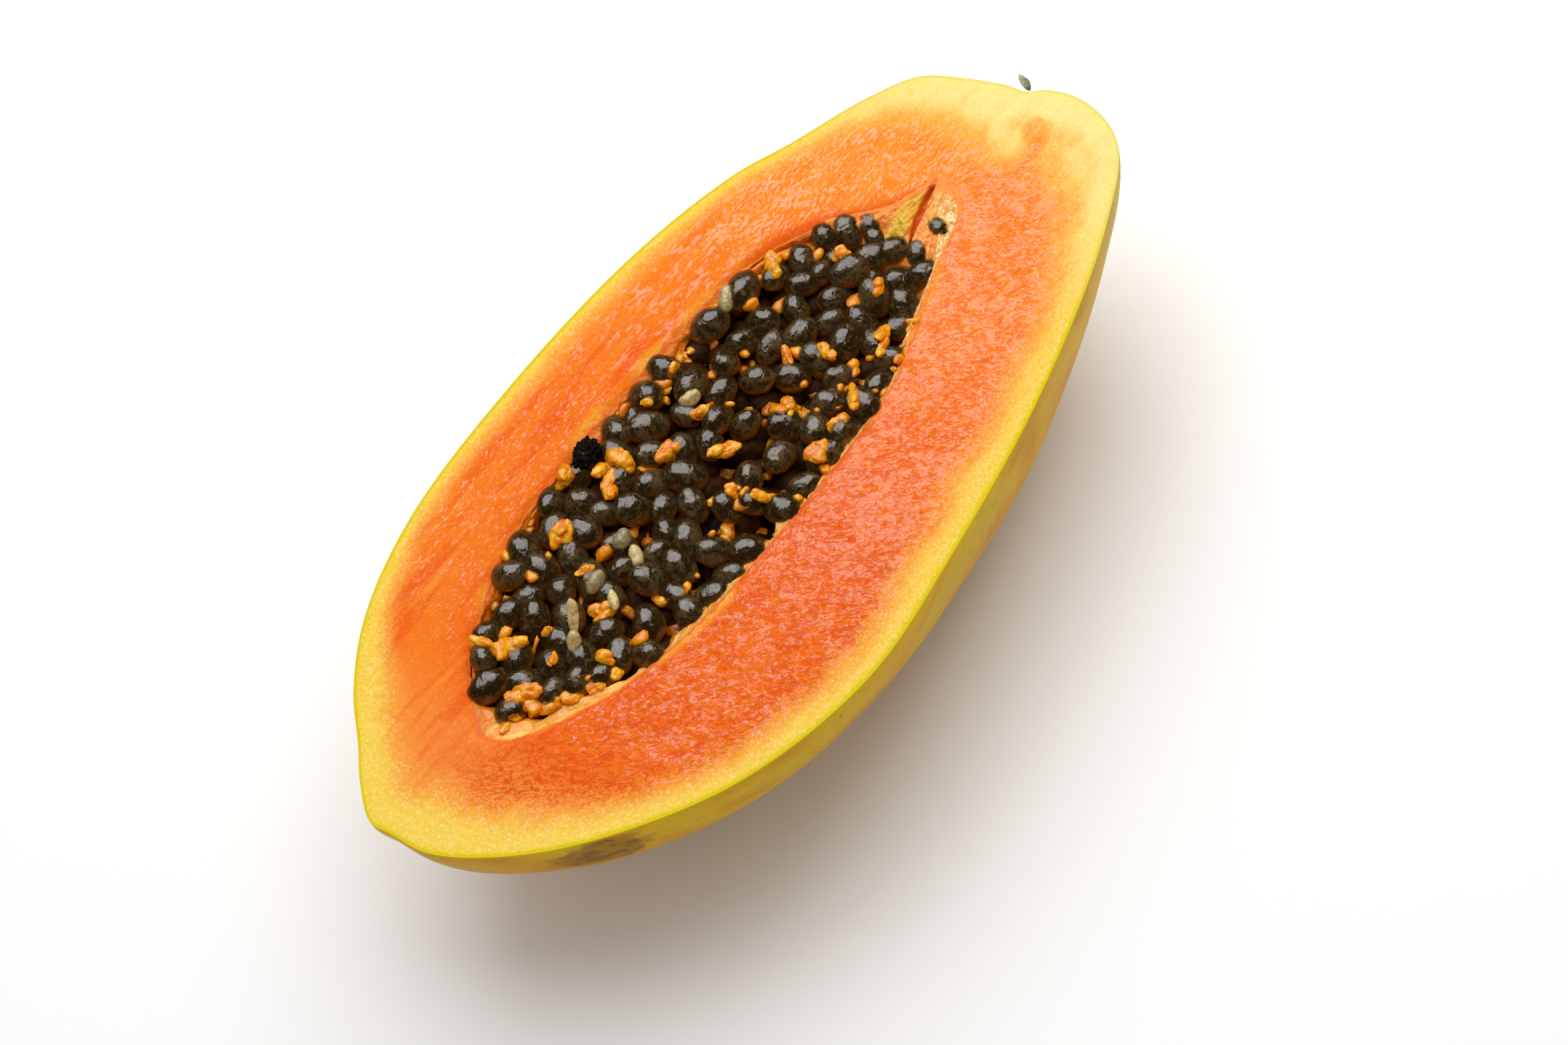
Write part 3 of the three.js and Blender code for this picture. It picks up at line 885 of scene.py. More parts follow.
def build_pulp_bed():
    """A bowl along the cavity's wall, closed by the lumpy top of the bed."""
    angles = spokes(BED_SPOKES)
    tilts = np.linspace(QUARTER * 0.95, 0.12, BOWL_RINGS)
    bowl = np.array([wall_ring(angles, t, BOWL_GAP) for t in tilts])
    reach = cavity_reach(angles)
    from_edge = np.concatenate([np.linspace(*run, BED_RINGS // 2) for run in BED_RING_RUNS])
    from_edge = from_edge[:, None]
    top = on_spokes(angles, np.maximum(reach - from_edge, reach * 0.01), 0.0)
    top[..., 2] = bed_height(top[..., 0], top[..., 1])
    uneven = noise_field(top, 7.0, 43, 2)
    bank_width = BANK_WIDTH * (1.1 + 0.9 * uneven) + SHELF_WIDTH * near_shelf(top)
    share = smoothstep((1.05 - from_edge / bank_width) * (1 + near_shelf(top)))
    bank = CUT_Z - BANK_TOP + uneven * 1.3
    top[..., 2] = blend(top[..., 2], np.maximum(bank, top[..., 2]), share)
    top[..., 2] += noise_field(top, 2.6, 41, 3) * 0.8
    stem_top = CUT_Z - BANK_TOP - 1.7 * ramp(top[..., 0], 38, 12)
    top[..., 2] = np.minimum(top[..., 2], stem_top)
    rings = np.concatenate([bowl, top])
    bank_share = np.concatenate([np.ones(bowl.shape[:2]), share])
    return closed_rings("pulp_bed", rings, {"bank": bank_share, "broad": broad_side(rings)})


pulp_bed = build_pulp_bed()

# %% [markdown]
# ## The lining
#
# Where the knife crossed the soft lining it left a ragged pale edge, one to three
# millimetres wide, that folds over the flesh and hangs down the wall. It could be painted on
# the flesh, but its crumbs catch light, so it is a band of its own with a torn inner edge.

# %% Build the lining
LINING_SPOKES = 1100
LINING_WIDTH = 0.35
LINING_DROP = 5.0
CREAM_BAND = 1.7
LINING_END = (52, 8)
STEMWARD = (20, 18)
LINING_SLOPE = 0.35
LINING_TEARS = 6.0
LINING_RAGS = 3.4
CRUMBLE_HEIGHT = 0.4
LINING_PROFILE = [
    (0.9, -1.2, 0), (1.0, -0.3, 0), (0.7, -0.05, 0), (0.35, 0.06, 0), (0.0, 0.08, 0.2),
    (-0.25, 0.08, 0.5), (-0.5, 0.04, 0.7), (-0.75, -0.06, 0.9), (-0.92, -0.35, 1),
    (-1.0, -0.8, 1), (-0.97, -1.5, 1), (-0.9, -2.3, 1), (-0.8, -3.3, 1), (-0.7, -LINING_DROP, 1),
    (0.8, -LINING_DROP, 1), (0.8, -2.5, 0.5),
]


def lining_width(points):
    """How far the torn edge reaches in from the cavity's edge, in millimetres."""
    torn = np.clip(noise_field(points, LINING_TEARS, 61, 4) + 0.15, 0, 1)
    ragged = noise_field(points, LINING_RAGS, 63, 3)
    broad = broad_side(points)
    width = LINING_WIDTH + (1.0 + 1.4 * broad) * torn + 0.5 * ragged
    width = width + CREAM_BAND * broad * ramp(points[:, 0], *STEMWARD)
    width = width + spot_sum(points, WIDE_SPOTS) * (1 + 0.5 * ragged)
    fade = 1 - ramp(points[:, 0], *LINING_END)
    return np.maximum(width, 0.15) * fade + SHELF_WIDTH * near_shelf(points)


def build_lining():
    """A tube of rings whose section is the profile, torn on its inner side."""
    angles = spokes(LINING_SPOKES)
    reach = cavity_reach(angles)
    edge = on_spokes(angles, reach, CUT_Z)
    width = lining_width(edge)
    fade = 1 - ramp(edge[:, 0], *LINING_END)
    overlap = np.clip(0.2 + 0.35 * width, 0.2, 1.2) * (1 + 0.8 * noise_field(edge, 2.6, 65, 3))
    out, height, shown = np.array(LINING_PROFILE).T[..., None]
    inward = out * np.where(out < 0, width, overlap)
    level = np.where(height > 0, height * fade, height) - 0.5 * (1 - fade)
    level = level + np.minimum(out, 0) * width * LINING_SLOPE
    rings = on_spokes(angles, reach + inward, CUT_Z)
    share = np.maximum(inward, 0) / (cut_reach(angles) - RIND - reach)
    relief, _ = cut_relief(rings, share)
    rings[..., 2] += relief + lip_height(edge, share ** (1 / RING_CROWDING)) + level
    crumble = noise_field(rings, 1.0, 67, 3) * 0.3
    crumble = crumble + noise_field(rings, 2.4, 71, 2) * CRUMBLE_HEIGHT
    rings[..., 2] += crumble * shown * fade * blend(0.4, 1.0, broad_side(rings))
    frayed = noise_field(rings, 1.3, 73, 3) * CRUMBLE_HEIGHT * shown
    rings += frayed[..., None] * spoke_directions(angles)
    measures = {
        "down_mm": np.maximum(-height, 0) + 0 * rings[..., 0],
        "out_share": out + 0 * rings[..., 0], "broad": broad_side(rings),
        "cream": near_shelf(rings) * smoothstep((6 - rings[..., 1]) / 4),
        "stemward": ramp(rings[..., 0], *STEMWARD),
    }
    faces = ring_faces(len(LINING_PROFILE), LINING_SPOKES, wrap=True)
    return make_piece("cavity_lining", rings.reshape(-1, 3), faces, measures)


lining = build_lining()

# %% [markdown]
# ## Pulp at the stem end
#
# The cavity closes towards the stem in a fan of yellow strands with a deep red split in it.
# A few seeds are half sunk in it. The fan is a patch of its own around a middle point, with
# ridges that all run to the stem, and the split is a groove along a short path.

# %% Build the stem pulp
FAN_EDGE = [
    (39, -11.2), (46, -8.2), (55.5, -5.4), (62, -3.2), (69.4, -0.6), (72.6, 3.6),
    (72.8, 8.0), (67.0, 10.4), (61.0, 13.0), (57, 16.6), (51, 21.6), (49.5, 18.5),
    (52.5, 13), (50, 8), (49.5, 3.5), (46, 0.5), (42.5, -4), (37, -8.5),
]
FAN_MIDDLE = (60.0, 4.0)
FAN_FOOT = (75.0, 6.5)
FAN_SPOKES = 420
FAN_RINGS = 58
FAN_DROP = 0.35
FAN_SLOPE = 5.5
FAN_THICKNESS = 3.4
FAN_FLOOR = CUT_Z - 8
STRAND_HEIGHT = 0.4
STRANDS_IN_TURN = 14
STRAND_STRETCH = 9
MEMBRANE_CALM = 0.7
SPLIT_PATH = [(72.2, 8.4), (67.2, 7.3), (62.0, 5.8), (56.4, 3.5)]
SPLIT_HALF_WIDTH = 0.62
SPLIT_DEPTH = 1.7
YELLOW_PATH = [(66.0, 9.6), (60.0, 8.2), (53.5, 6.8)]


def build_stem_pulp():
    """The fan as shrinking copies of its edge, combed towards the foot and split."""
    edge = even_points(smooth_loop(FAN_EDGE, 24), FAN_SPOKES)
    middle = np.array(FAN_MIDDLE)
    share = np.linspace(0.012, 1, FAN_RINGS) ** 0.9
    plan = middle + share[:, None, None] * (edge - middle)
    x, y = plan[..., 0], plan[..., 1]
    angles = np.arctan2(y - HEART[1], x - HEART[0])
    from_edge = cavity_reach(angles) - np.hypot(x - HEART[0], y - HEART[1])
    slope = (1 - ramp(x, 46, 15)) * ramp(from_edge, 1.0, 4.0)
    height = CUT_Z - FAN_DROP - FAN_SLOPE * slope
    top = np.concatenate([plan, height[..., None]], axis=-1)
    bearing = np.arctan2(y - FAN_FOOT[1], FAN_FOOT[0] - x)
    far = np.hypot(x - FAN_FOOT[0], y - FAN_FOOT[1])
    combed = np.stack([bearing * STRANDS_IN_TURN, far / STRAND_STRETCH, 0 * far], axis=-1)
    strands = noise_field(combed, 1.0, 83, 4)
    lumps = noise_field(top, 2.4, 89, 3)
    membrane = smoothstep((7.5 - from_edge) / 4) * smoothstep((6 - y) / 4)
    combing = STRAND_HEIGHT * (1 - MEMBRANE_CALM * membrane) * smoothstep(far / 8)
    top[..., 2] += (strands * combing + lumps * 0.5) * smoothstep(from_edge / 1.5)
    flush, _ = cut_relief(top, smoothstep(-from_edge / 20))
    flush = CUT_Z + flush - lip_drop(top) * np.clip(1 + from_edge / 3, 0, 1) ** 2 + 0.05
    top[..., 2] = blend(flush, top[..., 2], ramp(from_edge, -0.2, 1.8))
    gap, along = distance_to_path(top, SPLIT_PATH)
    half = SPLIT_HALF_WIDTH * (0.25 + np.sin(np.clip(along, 0.02, 0.98) * math.pi))
    split = smoothstep(1.35 - gap / half)
    top[..., 2] -= split * SPLIT_DEPTH
    top[..., 2] -= 0.15 * ramp(share, 0.95, 0.05)[:, None]
    under = top[-1:] - (0, 0, FAN_THICKNESS)
    inner = under.copy()
    inner[..., :2] = middle + 0.5 * (under[..., :2] - middle)
    inner[..., 2] = FAN_FLOOR
    yellow, _ = distance_to_path(top, YELLOW_PATH)
    measures = {
        "yellow": smoothstep(1.3 - yellow / 2.2), "membrane": membrane, "strand": strands,
        "merge": 1 - smoothstep(from_edge / (2.8 - 1.2 * membrane)), "split": split,
    }
    blank = np.zeros((2, FAN_SPOKES))
    measures = {name: np.concatenate([values, blank]) for name, values in measures.items()}
    measures["low"] = np.concatenate([slope, blank + 1])
    return closed_rings("stem_pulp", np.concatenate([top, under, inner]), measures)


stem_pulp = build_stem_pulp()

# %% [markdown]
# ## Where the seeds lie
#
# Seeds that are scattered at random overlap or float. Here they are dropped as balls into
# the cavity and pushed apart a little at a time, with a light pull downwards, until they
# rest on the pulp and on each other, as real ones do. A fixed seed for the random draw
# gives the same heap every time.

# %% Drop the seeds and let them settle
SEED_LENGTH = 8.7
SEED_WIDTH = 6.6
SEED_BALL = SEED_WIDTH / 2 * 1.04
SEED_COUNT = 250
SEED_SPREAD = 0.12
SEED_CONTACT = 0.86
SEED_END = 50.0
END_SLANT = 0.35
SETTLE_STEPS = 260
SINK_STEP = 0.03
PUSH_SHARE = 0.28
BED_CONTACT = 0.8
WALL_CONTACT = 0.88
WALL_GAP = 0.2
WALL_CLOSING = 20
HEAP_TOP = 1.6
HEAP_UNEVEN = 0.7
DROP_HEIGHT = CUT_Z - 5
DROP_SPREAD = 3
STEM_SEED_TOP = CUT_Z + 1.0
STEM_SEED_SINK = 0.8
PIT_PATH = [(-1.5, 5.0), (-6.5, 1.8), (-12.5, 0.5), (-17.5, -1.0)]
SIDE_PIT = [(-4.5, -9.0), (-9.0, -12.0)]
PIT_HALF_WIDTH = 1.9
STEM_SEEDS = [
    (49.4, 20.4, 0.95, 0.6), (52.6, 16.9, 1.05, 0.4), (56.6, 14.1, 0.85, 0.9),
    (61.1, 11.6, 0.72, 1.8), (54.6, 10.8, 0.72, 1.8), (54.9, 6.4, 1.0, 1.0),
    (50.4, 9.4, 1.1, 0.8), (54.0, -2.3, 0.9, 1.0), (63.6, 1.8, 0.86, 0.5),
    (57.2, 1.8, 0.8, 1.2), (49.9, 0.6, 1.1, 0.8), (45.9, -3.3, 1.05, 1.0),
    (42.0, -6.2, 0.95, 1.2),
]

cavity_loop = smooth_loop(CAVITY_EDGE, 20)
cavity_tangent = np.roll(cavity_loop, -1, axis=0) - np.roll(cavity_loop, 1, axis=0)
cavity_inward = np.stack([-cavity_tangent[:, 1], cavity_tangent[:, 0]], axis=-1)
cavity_inward /= np.linalg.norm(cavity_inward, axis=1)[:, None]


def keep_inside(points, radius):
    """Moves balls in from the cavity's wall, which closes in with depth."""
    gap = points[:, None, :2] - cavity_loop[None]
    nearest = np.argmin((gap**2).sum(-1), axis=1)
    inward = cavity_inward[nearest]
    clear = (gap[np.arange(len(points)), nearest] * inward).sum(-1)
    depth = np.clip((CUT_Z - LIP_DROP - points[:, 2]) / CAVITY_DEPTH, 0, 0.95)
    need = radius * WALL_CONTACT + WALL_GAP + WALL_CLOSING * (1 - np.sqrt(1 - depth**2))
    need = need + 1.1 * SHELF_WIDTH * near_shelf(points)
    points[:, :2] += inward * np.maximum(need - clear, 0)[:, None]
    points[:, 0] = np.minimum(points[:, 0], SEED_END + END_SLANT * points[:, 1] - radius * 0.6)


STEM_SEEDS = np.array(STEM_SEEDS)
stem_radii = STEM_SEEDS[:, 2] * SEED_BALL
stem_places = STEM_SEEDS[:, :3].copy()
stem_places[:, 2] = STEM_SEED_TOP - stem_radii - STEM_SEEDS[:, 3] * STEM_SEED_SINK


def settle_seeds():
    """Places and radii of the seeds once they have come to rest."""
    draw = np.random.default_rng(12)
    radius = SEED_BALL * (1 + SEED_SPREAD * draw.uniform(-1, 1, SEED_COUNT))
    low, high = cavity_loop.min(axis=0), cavity_loop.max(axis=0)
    spots = draw.uniform(low, high, (SEED_COUNT * 4, 2)) - HEART
    angle = np.arctan2(spots[:, 1], spots[:, 0])
    inside = np.hypot(spots[:, 0], spots[:, 1]) < cavity_reach(angle) - 2
    spots = (spots + HEART)[inside & (spots[:, 0] < SEED_END)][:SEED_COUNT]
    heights = DROP_HEIGHT + draw.uniform(-DROP_SPREAD, DROP_SPREAD, SEED_COUNT)
    points = np.column_stack([spots, heights])
    fixed = len(STEM_SEEDS)
    points[:fixed] = stem_places
    radius[:fixed] = stem_radii
    uneven = draw.normal(0, HEAP_UNEVEN, SEED_COUNT)
    for _ in range(SETTLE_STEPS):
        points[:, 2] -= SINK_STEP
        apart = points[:, None] - points[None]
        gap = np.linalg.norm(apart, axis=-1) + 1e-9
        overlap = np.clip(SEED_CONTACT * (radius[:, None] + radius[None]) - gap, 0, None)
        np.fill_diagonal(overlap, 0)
        points += (apart / gap[..., None] * overlap[..., None]).sum(axis=1) * PUSH_SHARE
        floor = bed_height(points[:, 0], points[:, 1]) + radius * BED_CONTACT
        points[:, 2] = np.maximum(points[:, 2], floor)
        keep_inside(points, radius)
        ceiling = CUT_Z - radius + HEAP_TOP + SLANT * points[:, 1] + uneven
        points[:, 2] = np.minimum(points[:, 2], ceiling)
        points[:fixed] = stem_places
    pit, _ = distance_to_path(points, PIT_PATH)
    side_pit, _ = distance_to_path(points, SIDE_PIT)
    keep = (pit > PIT_HALF_WIDTH) & (side_pit > PIT_HALF_WIDTH)
    return points[keep], radius[keep]


seed_places, seed_radii = settle_seeds()
print("seeds", len(seed_places), "heights, mm", seed_places[:, 2].min().round(1),
      seed_places[:, 2].max().round(1))

# %% [markdown]
# ## Seeds by Geometry Nodes
#
# One node tree makes any layer of seeds: a ball on each point, stretched, turned at random,
# realized, and then pushed in and out by noise so that no two are alike. The dark seeds and
# the clear gel round them are the same tree with two sizes, so each gel coat fits its seed.

# %% A tree that puts uneven seeds on points
SEED_LEAN = 0.8
RIDGES = "RIDGED_MULTIFRACTAL"
SEED_INPUTS = {
    "Geometry": "Geometry", "Detail": "Int", "Length": "Float", "Width": "Float",
    "Lump Height": "Float", "Lump Size": "Float", "Wrinkle Height": "Float",
    "Wrinkle Size": "Float", "Random Seed": "Int", "Material": "Material",
}


def seed_tree():
    """The Geometry Nodes tree that turns points into uneven seeds."""
    tree = bpy.data.node_groups.new("seeds on points", "GeometryNodeTree")
    for label, kind in SEED_INPUTS.items():
        tree.interface.new_socket(label, in_out="INPUT", socket_type="NodeSocket" + kind)
    tree.interface.new_socket("Geometry", in_out="OUTPUT", socket_type="NodeSocketGeometry")
    g = Graph(tree)
    given = g.node("NodeGroupInput")
    draw = given.out("Random Seed")
    ball = g.node("GeometryNodeMeshIcoSphere", Radius=0.5, Subdivisions=given.out("Detail"))
    turn = g.node("FunctionNodeRandomValue", {"data_type": "FLOAT_VECTOR"},
                  (0.0, -SEED_LEAN, 0.0), (math.tau, SEED_LEAN, math.tau), Seed=draw)
    size = g.node("GeometryNodeInputNamedAttribute", {"data_type": "FLOAT"}, "size")
    width = given.out("Width") * size
    stretch = g.node("ShaderNodeCombineXYZ", given.out("Length") * size, width, width * 0.97)
    heap = g.node("GeometryNodeInstanceOnPoints", Points=given.out("Geometry"), Instance=ball,
                  Rotation=turn, Scale=stretch)
    tone = g.node("FunctionNodeRandomValue", {"data_type": "FLOAT"}, Seed=draw + 1)
    heap = g.node("GeometryNodeStoreNamedAttribute", {"domain": "INSTANCE"}, heap,
                  Name="tone", Value=Value(g, tone.node, 1))
    heap = g.node("GeometryNodeRealizeInstances", heap)
    place = g.node("GeometryNodeInputPosition")
    tone_here = g.node("GeometryNodeInputNamedAttribute", {"data_type": "FLOAT"}, "tone")
    lumps = g.node("ShaderNodeTexNoise", Vector=place, Detail=1.0,
                   Scale=1 / given.out("Lump Size"))
    wrinkles = g.node("ShaderNodeTexNoise", {"noise_type": RIDGES}, Vector=place,
                      Detail=2.0, Distortion=0.6, Scale=1 / given.out("Wrinkle Size"))
    wrinkled = g.node("ShaderNodeMapRange", tone_here, 0.55, 0.9, 0.15, 1.0)
    push = (lumps - 0.5) * given.out("Lump Height")
    push = push + (wrinkles - 0.6) * given.out("Wrinkle Height") * wrinkled
    offset = g.node("ShaderNodeVectorMath", {"operation": "SCALE"},
                    g.node("GeometryNodeInputNormal"), Scale=push)
    heap = g.node("GeometryNodeSetPosition", heap, Offset=offset)
    heap = g.node("GeometryNodeSetShadeSmooth", heap)
    heap = g.node("GeometryNodeSetMaterial", heap, Material=given.out("Material"))
    g.node("NodeGroupOutput", heap)
    return tree


def grow(name, tree, places, sizes, material, **sizes_mm):
    """Runs the seed tree on points and keeps the result as a plain mesh object."""
    cloud = bpy.data.meshes.new(name + "_points")
    cloud.from_pydata(((places - BOX_MIDDLE) * MM).tolist(), [], [])
    store_measures(cloud, {"size": sizes})
    holder = put_in_scene(name + "_holder", cloud)
    modifier = holder.modifiers.new("seeds", "NODES")
    modifier.node_group = tree
    keys = {s.name: s.identifier for s in tree.interface.items_tree if s.in_out == "INPUT"}
    modifier[keys["Material"]] = material
    for label, value in sizes_mm.items():
        label = label.replace("_", " ")
        modifier[keys[label]] = value if SEED_INPUTS[label] == "Int" else value * MM
    graph = bpy.context.evaluated_depsgraph_get()
    mesh = bpy.data.meshes.new_from_object(holder.evaluated_get(graph))
    mesh.name = name
    bpy.data.objects.remove(holder)
    mesh.calc_loop_triangles()
    print(name, len(places), "seeds,", len(mesh.loop_triangles), "triangles")
    return put_in_scene(name, mesh)


# %% Seed and gel finishes
def facing_up(f):
    """The world height of the surface normal: 1 on top, 0 at the sides."""
    normal = f.node("ShaderNodeNewGeometry").out("Normal")
    return f.node("ShaderNodeSeparateXYZ", normal).out("Z")


def seed_finish():
    """A dark wrinkled skin, greyer where the tone is high, partly as a painted reflection, with a
    painted amber glow underneath.
    """
    f = Finish("dark seed", "tone")
    cloud = f.swing(2.2, 4, 0.8)
    warts = f.swing(0.8, 3, 0.4, shift=3)
    grain = f.swing(0.35, 2, 0.3, shift=9)
    # grey patches: partly the seed's own mottle, partly a painted reflection of the white room
    patch = (0.38 + f.tone * 0.22 + cloud * 1.5 + warts * 0.7 + grain * 0.5).rise(0.34, 0.78)
    # painted light: an amber glow, as of light through the gel, on the lower side of each seed
    low = (facing_up(f) + cloud * 0.5).fall(-0.1, 0.4)
    colour = f.coats(
        f.mix(patch, (30, 20, 9), (128, 108, 72)),
        ((warts + grain * 0.5).rise(0.06, 0.2) * 0.4, (146, 124, 84)),
        (low * 0.8, (96, 50, 8)),
    )
    folds = f.noise(1.3, 2, 0.9, shift=5, kind=RIDGES) * f.tone.rise(0.35, 0.95)
    normal = f.bumps((f.noise(2.0, 2, 0.6, shift=2), 0.40, 0.9), (folds, 0.22, 0.8))
    return f.close(f.surface(colour, 0.12, Normal=normal, IOR=1.7))


def gel_finish():
    """A clear coat that turns amber towards its sides, partly its own tint, partly a painted glow
    of light through it.
    """
    f = Finish("seed gel", "tone")
    # the amber at the sides is partly the gel's own tint, partly a painted glow of light through
    # the gel
    side = (facing_up(f) + f.swing(2.2, 3, 0.4, shift=6) * 0.5).fall(0.0, 0.6)
    colour = f.mix(side, (120, 88, 40), (176, 96, 8))
    folds = f.noise(1.2, 2, 0.9, shift=5, kind=RIDGES) * f.tone.rise(0.6, 0.95)
    normal = f.bumps((f.noise(2.0, 2, 0.6, shift=2), 0.34, 0.9), (folds, 0.12, 0.8))
    return f.close(f.surface(colour, 0.03, Alpha=0.13 + side * 0.5, Normal=normal, IOR=2.1))


def deep_seed_finish():
    """Seeds that only show in the gaps, painted darker than the top ones as shade, without any
    shine.
    """
    f = Finish("seed in shade")
    # painted shade: darker browns than the seeds on top, for the deep gaps of the heap
    colour = f.mix(f.noise(1.8, 4, 0.5).rise(0.2, 0.9), (26, 14, 5), (72, 38, 10))
    normal = f.bumps((f.noise(1.2, 3, 0.5, shift=2), 0.25, 0.8))
    return f.close(f.surface(colour, 0.5, Normal=normal, Specular_IOR_Level=0.03))


# %% Grow the seeds
heap_tree = seed_tree()
SEED_SEED = 4
TOP_LAYER = 5.2
seed_sizes = seed_radii / SEED_BALL
on_top = seed_places[:, 2] > CUT_Z - TOP_LAYER
top = seed_places[on_top], seed_sizes[on_top]
low = seed_places[~on_top], seed_sizes[~on_top]
alike = {"Lump_Size": 3.4, "Wrinkle_Size": 1.9, "Random_Seed": SEED_SEED}
seeds_top = grow(
    "seeds_top", heap_tree, *top, seed_finish(), Detail=3, Length=SEED_LENGTH - 0.5,
    Width=SEED_WIDTH - 0.5, Lump_Height=0.9, Wrinkle_Height=0.3, **alike,
)
seeds_gel = grow(
    "seeds_gel", heap_tree, *top, gel_finish(), Detail=4, Length=SEED_LENGTH,
    Width=SEED_WIDTH, Lump_Height=0.8, Wrinkle_Height=0.4, **alike,
)
seeds_low = grow(
    "seeds_low", heap_tree, *low, deep_seed_finish(), Detail=3, Length=SEED_LENGTH - 0.3,
    Width=SEED_WIDTH - 0.3, Lump_Height=0.8, Wrinkle_Height=0.3, **alike,
)

# %% [markdown]
# ## Pulp finishes
#
# The bed, the torn lining and the stem fan are one soft yellow-orange tissue, cream where it
# is torn; the near black brown in the depth of the bed is painted shade. Each has its own
# finish because each reads a different measure from its mesh.

# %% Bed, lining and stem fan finishes
def bed_finish():
    """Painted shade in the depth, bright pulp on the bank."""
    f = Finish("wet pulp bed", "bank", "broad")
    patch = f.swing(4, 4, 0.5)
    fine = f.swing(1.1, 3, 0.5, shift=6)
    high = f.bank + patch * 0.7
    mellow = (0.5 + patch * 1.5 + fine).rise(0.2, 0.8)
    on_slim = f.mix(mellow, (238, 106, 8), (248, 146, 26))
    on_broad = f.mix(mellow, (232, 132, 12), (248, 178, 46))
    # painted shade: near black brown in the depth between the seeds, bright pulp up the bank
    colour = f.coats(
        f.mix(high.rise(0.05, 0.45), (40, 19, 4), (200, 96, 8)),
        (high.rise(0.35, 0.75), f.mix(f.broad, on_slim, on_broad)),
    )
    normal = f.bumps((f.noise(1.2, 4, 0.5, shift=4), 0.4, 0.8))
    return f.close(f.surface(colour, 0.5 - high.rise(0.2, 0.6) * 0.3, Normal=normal, IOR=1.35))


def lining_finish():
    """Orange on the slim side and cream on the broad side, paler on the shelf."""
    f = Finish("torn lining", "down_mm", "out_share", "cream", "broad", "stemward")
    patch = f.swing(3.0, 4, 0.6, stretch=(2, 1, 1))
    fine = f.swing(0.7, 4, 0.5, shift=3)
    pale = f.mix(f.broad, (242, 136, 24), (240, 200, 116))
    deep = f.mix(f.broad, (228, 112, 6), (244, 166, 30))
    warm = (0.5 + patch * 2.2 + fine * 0.8 - 0.25 * f.broad * f.stemward).rise(0.25, 0.8)
    wall = f.mix(f.broad, (240, 104, 8), (230, 134, 20))
    speckle = (fine + patch * 0.4).rise(0.06, 0.2) * f.broad
    shelf = f.mix((0.5 + patch * 1.6).rise(0.3, 0.7), (255, 218, 104), (252, 172, 34))
    outer = (f.out_share + fine * 0.9 + patch * 0.6).rise(-0.4, 0.3)
    colour = f.coats(
        f.mix(warm, pale, deep),
        ((f.down_mm + patch * 3).rise(0.8, 3.5), wall),
        (speckle * (1 - f.cream) * 0.5, (186, 140, 56)),
        (f.cream.rise(0.2, 0.7), shelf),
        (outer, f.mix(f.stemward, (242, 110, 26), (250, 138, 50))),
    )
    normal = f.bumps((f.noise(0.7, 4, 0.4, shift=8) * (1 - f.cream * 0.6), 0.45, 0.9))
    rough = 0.45 - warm * 0.2 + fine * 0.3 + outer * 0.35
    return f.close(f.surface(colour, rough, Normal=normal, IOR=1.3))


def fan_finish():
    """Golden strands with a speckled membrane, which turn into flesh at the edge."""
    f = Finish("stem fan", "strand", "split", "low", "yellow", "membrane", "merge")
    patch = f.swing(4, 4, 0.5)
    fine = f.swing(0.8, 4, 0.5, shift=3)
    clots = f.noise(1.7, 4, 1.2, shift=12)
    speckled = f.coats(
        f.mix((0.5 + fine * 1.6).rise(0.3, 0.8), (226, 156, 56), (250, 206, 124)),
        (clots.rise(0.5, 0.62), (255, 232, 164)),
        (clots.fall(0.34, 0.46) * 0.8, (236, 138, 34)),
    )
    ridge = (f.strand * 0.8 + patch * 1.2 + fine * 0.5).rise(-0.25, 0.4)
    colour = f.coats(
        f.mix(ridge, (238, 134, 34), (246, 172, 74)),
        (f.yellow * (0.6 + patch + fine * 0.5).rise(0.2, 0.6), (222, 174, 20)),
        ((f.low + patch * 0.5).rise(0.3, 0.9) * 0.8, (206, 118, 18)),
        (f.membrane * (0.7 + patch + fine * 0.6).rise(0.2, 0.6), speckled),
        ((f.merge + fine * 0.8 + patch * 1.2).rise(0.3, 0.75), (252, 146, 50)),
        (f.split.rise(0.1, 0.5), (216, 100, 24)),
    )
    normal = f.bumps((f.noise(0.8, 4, 0.4, shift=8), 0.35, 0.8), (clots * f.membrane, 0.5, 0.8))
    rough = 0.36 + f.merge * 0.3 + fine * 0.3
    return f.close(f.surface(colour, rough, Normal=normal, IOR=1.3))


dress(pulp_bed, bed_finish())
dress(lining, lining_finish())
dress(stem_pulp, fan_finish())

# %% [markdown]
# ## Crumbs, pale seeds and the odd ones
#
# Bright knobs of pulp stick to the heap, with a few seeds that never ripened, one dried
# black seed, and a sprout. Each has a place of its own, and its height comes from the seeds
# under it, so that none floats.

# %% Height of the heap at a place
KNOB_SWELL = 1.22
KNOB_BEND = 0.12
KNOB_BITE = 1.8
GRAIN_OF_KNOB = 0.16


def bank_height(x, y):
    """Height of the pulp bed at a place, with the bank that climbs to the cavity's edge."""
    off = np.array([x, y]) - HEART
    from_edge = cavity_reach(math.atan2(off[1], off[0])) - np.hypot(*off)
    share = smoothstep(1.05 - from_edge / BANK_WIDTH)
    return float(blend(bed_height(x, y), CUT_Z - BANK_TOP, share))


def heap_height(x, y, reach=2.6):
    """Top of the heap at a place: the highest seed that covers it, or the bed."""
    gap = np.hypot(seed_places[:, 0] - x, seed_places[:, 1] - y)
    radius = seed_sizes * SEED_WIDTH / 2
    cover = np.clip(1 - (gap / (radius + reach * 0.3)) ** 2, 0, None)
    tops = np.where(cover > 0, seed_places[:, 2] + radius * np.sqrt(cover), 0)
    return max(tops.max(), bank_height(x, y))


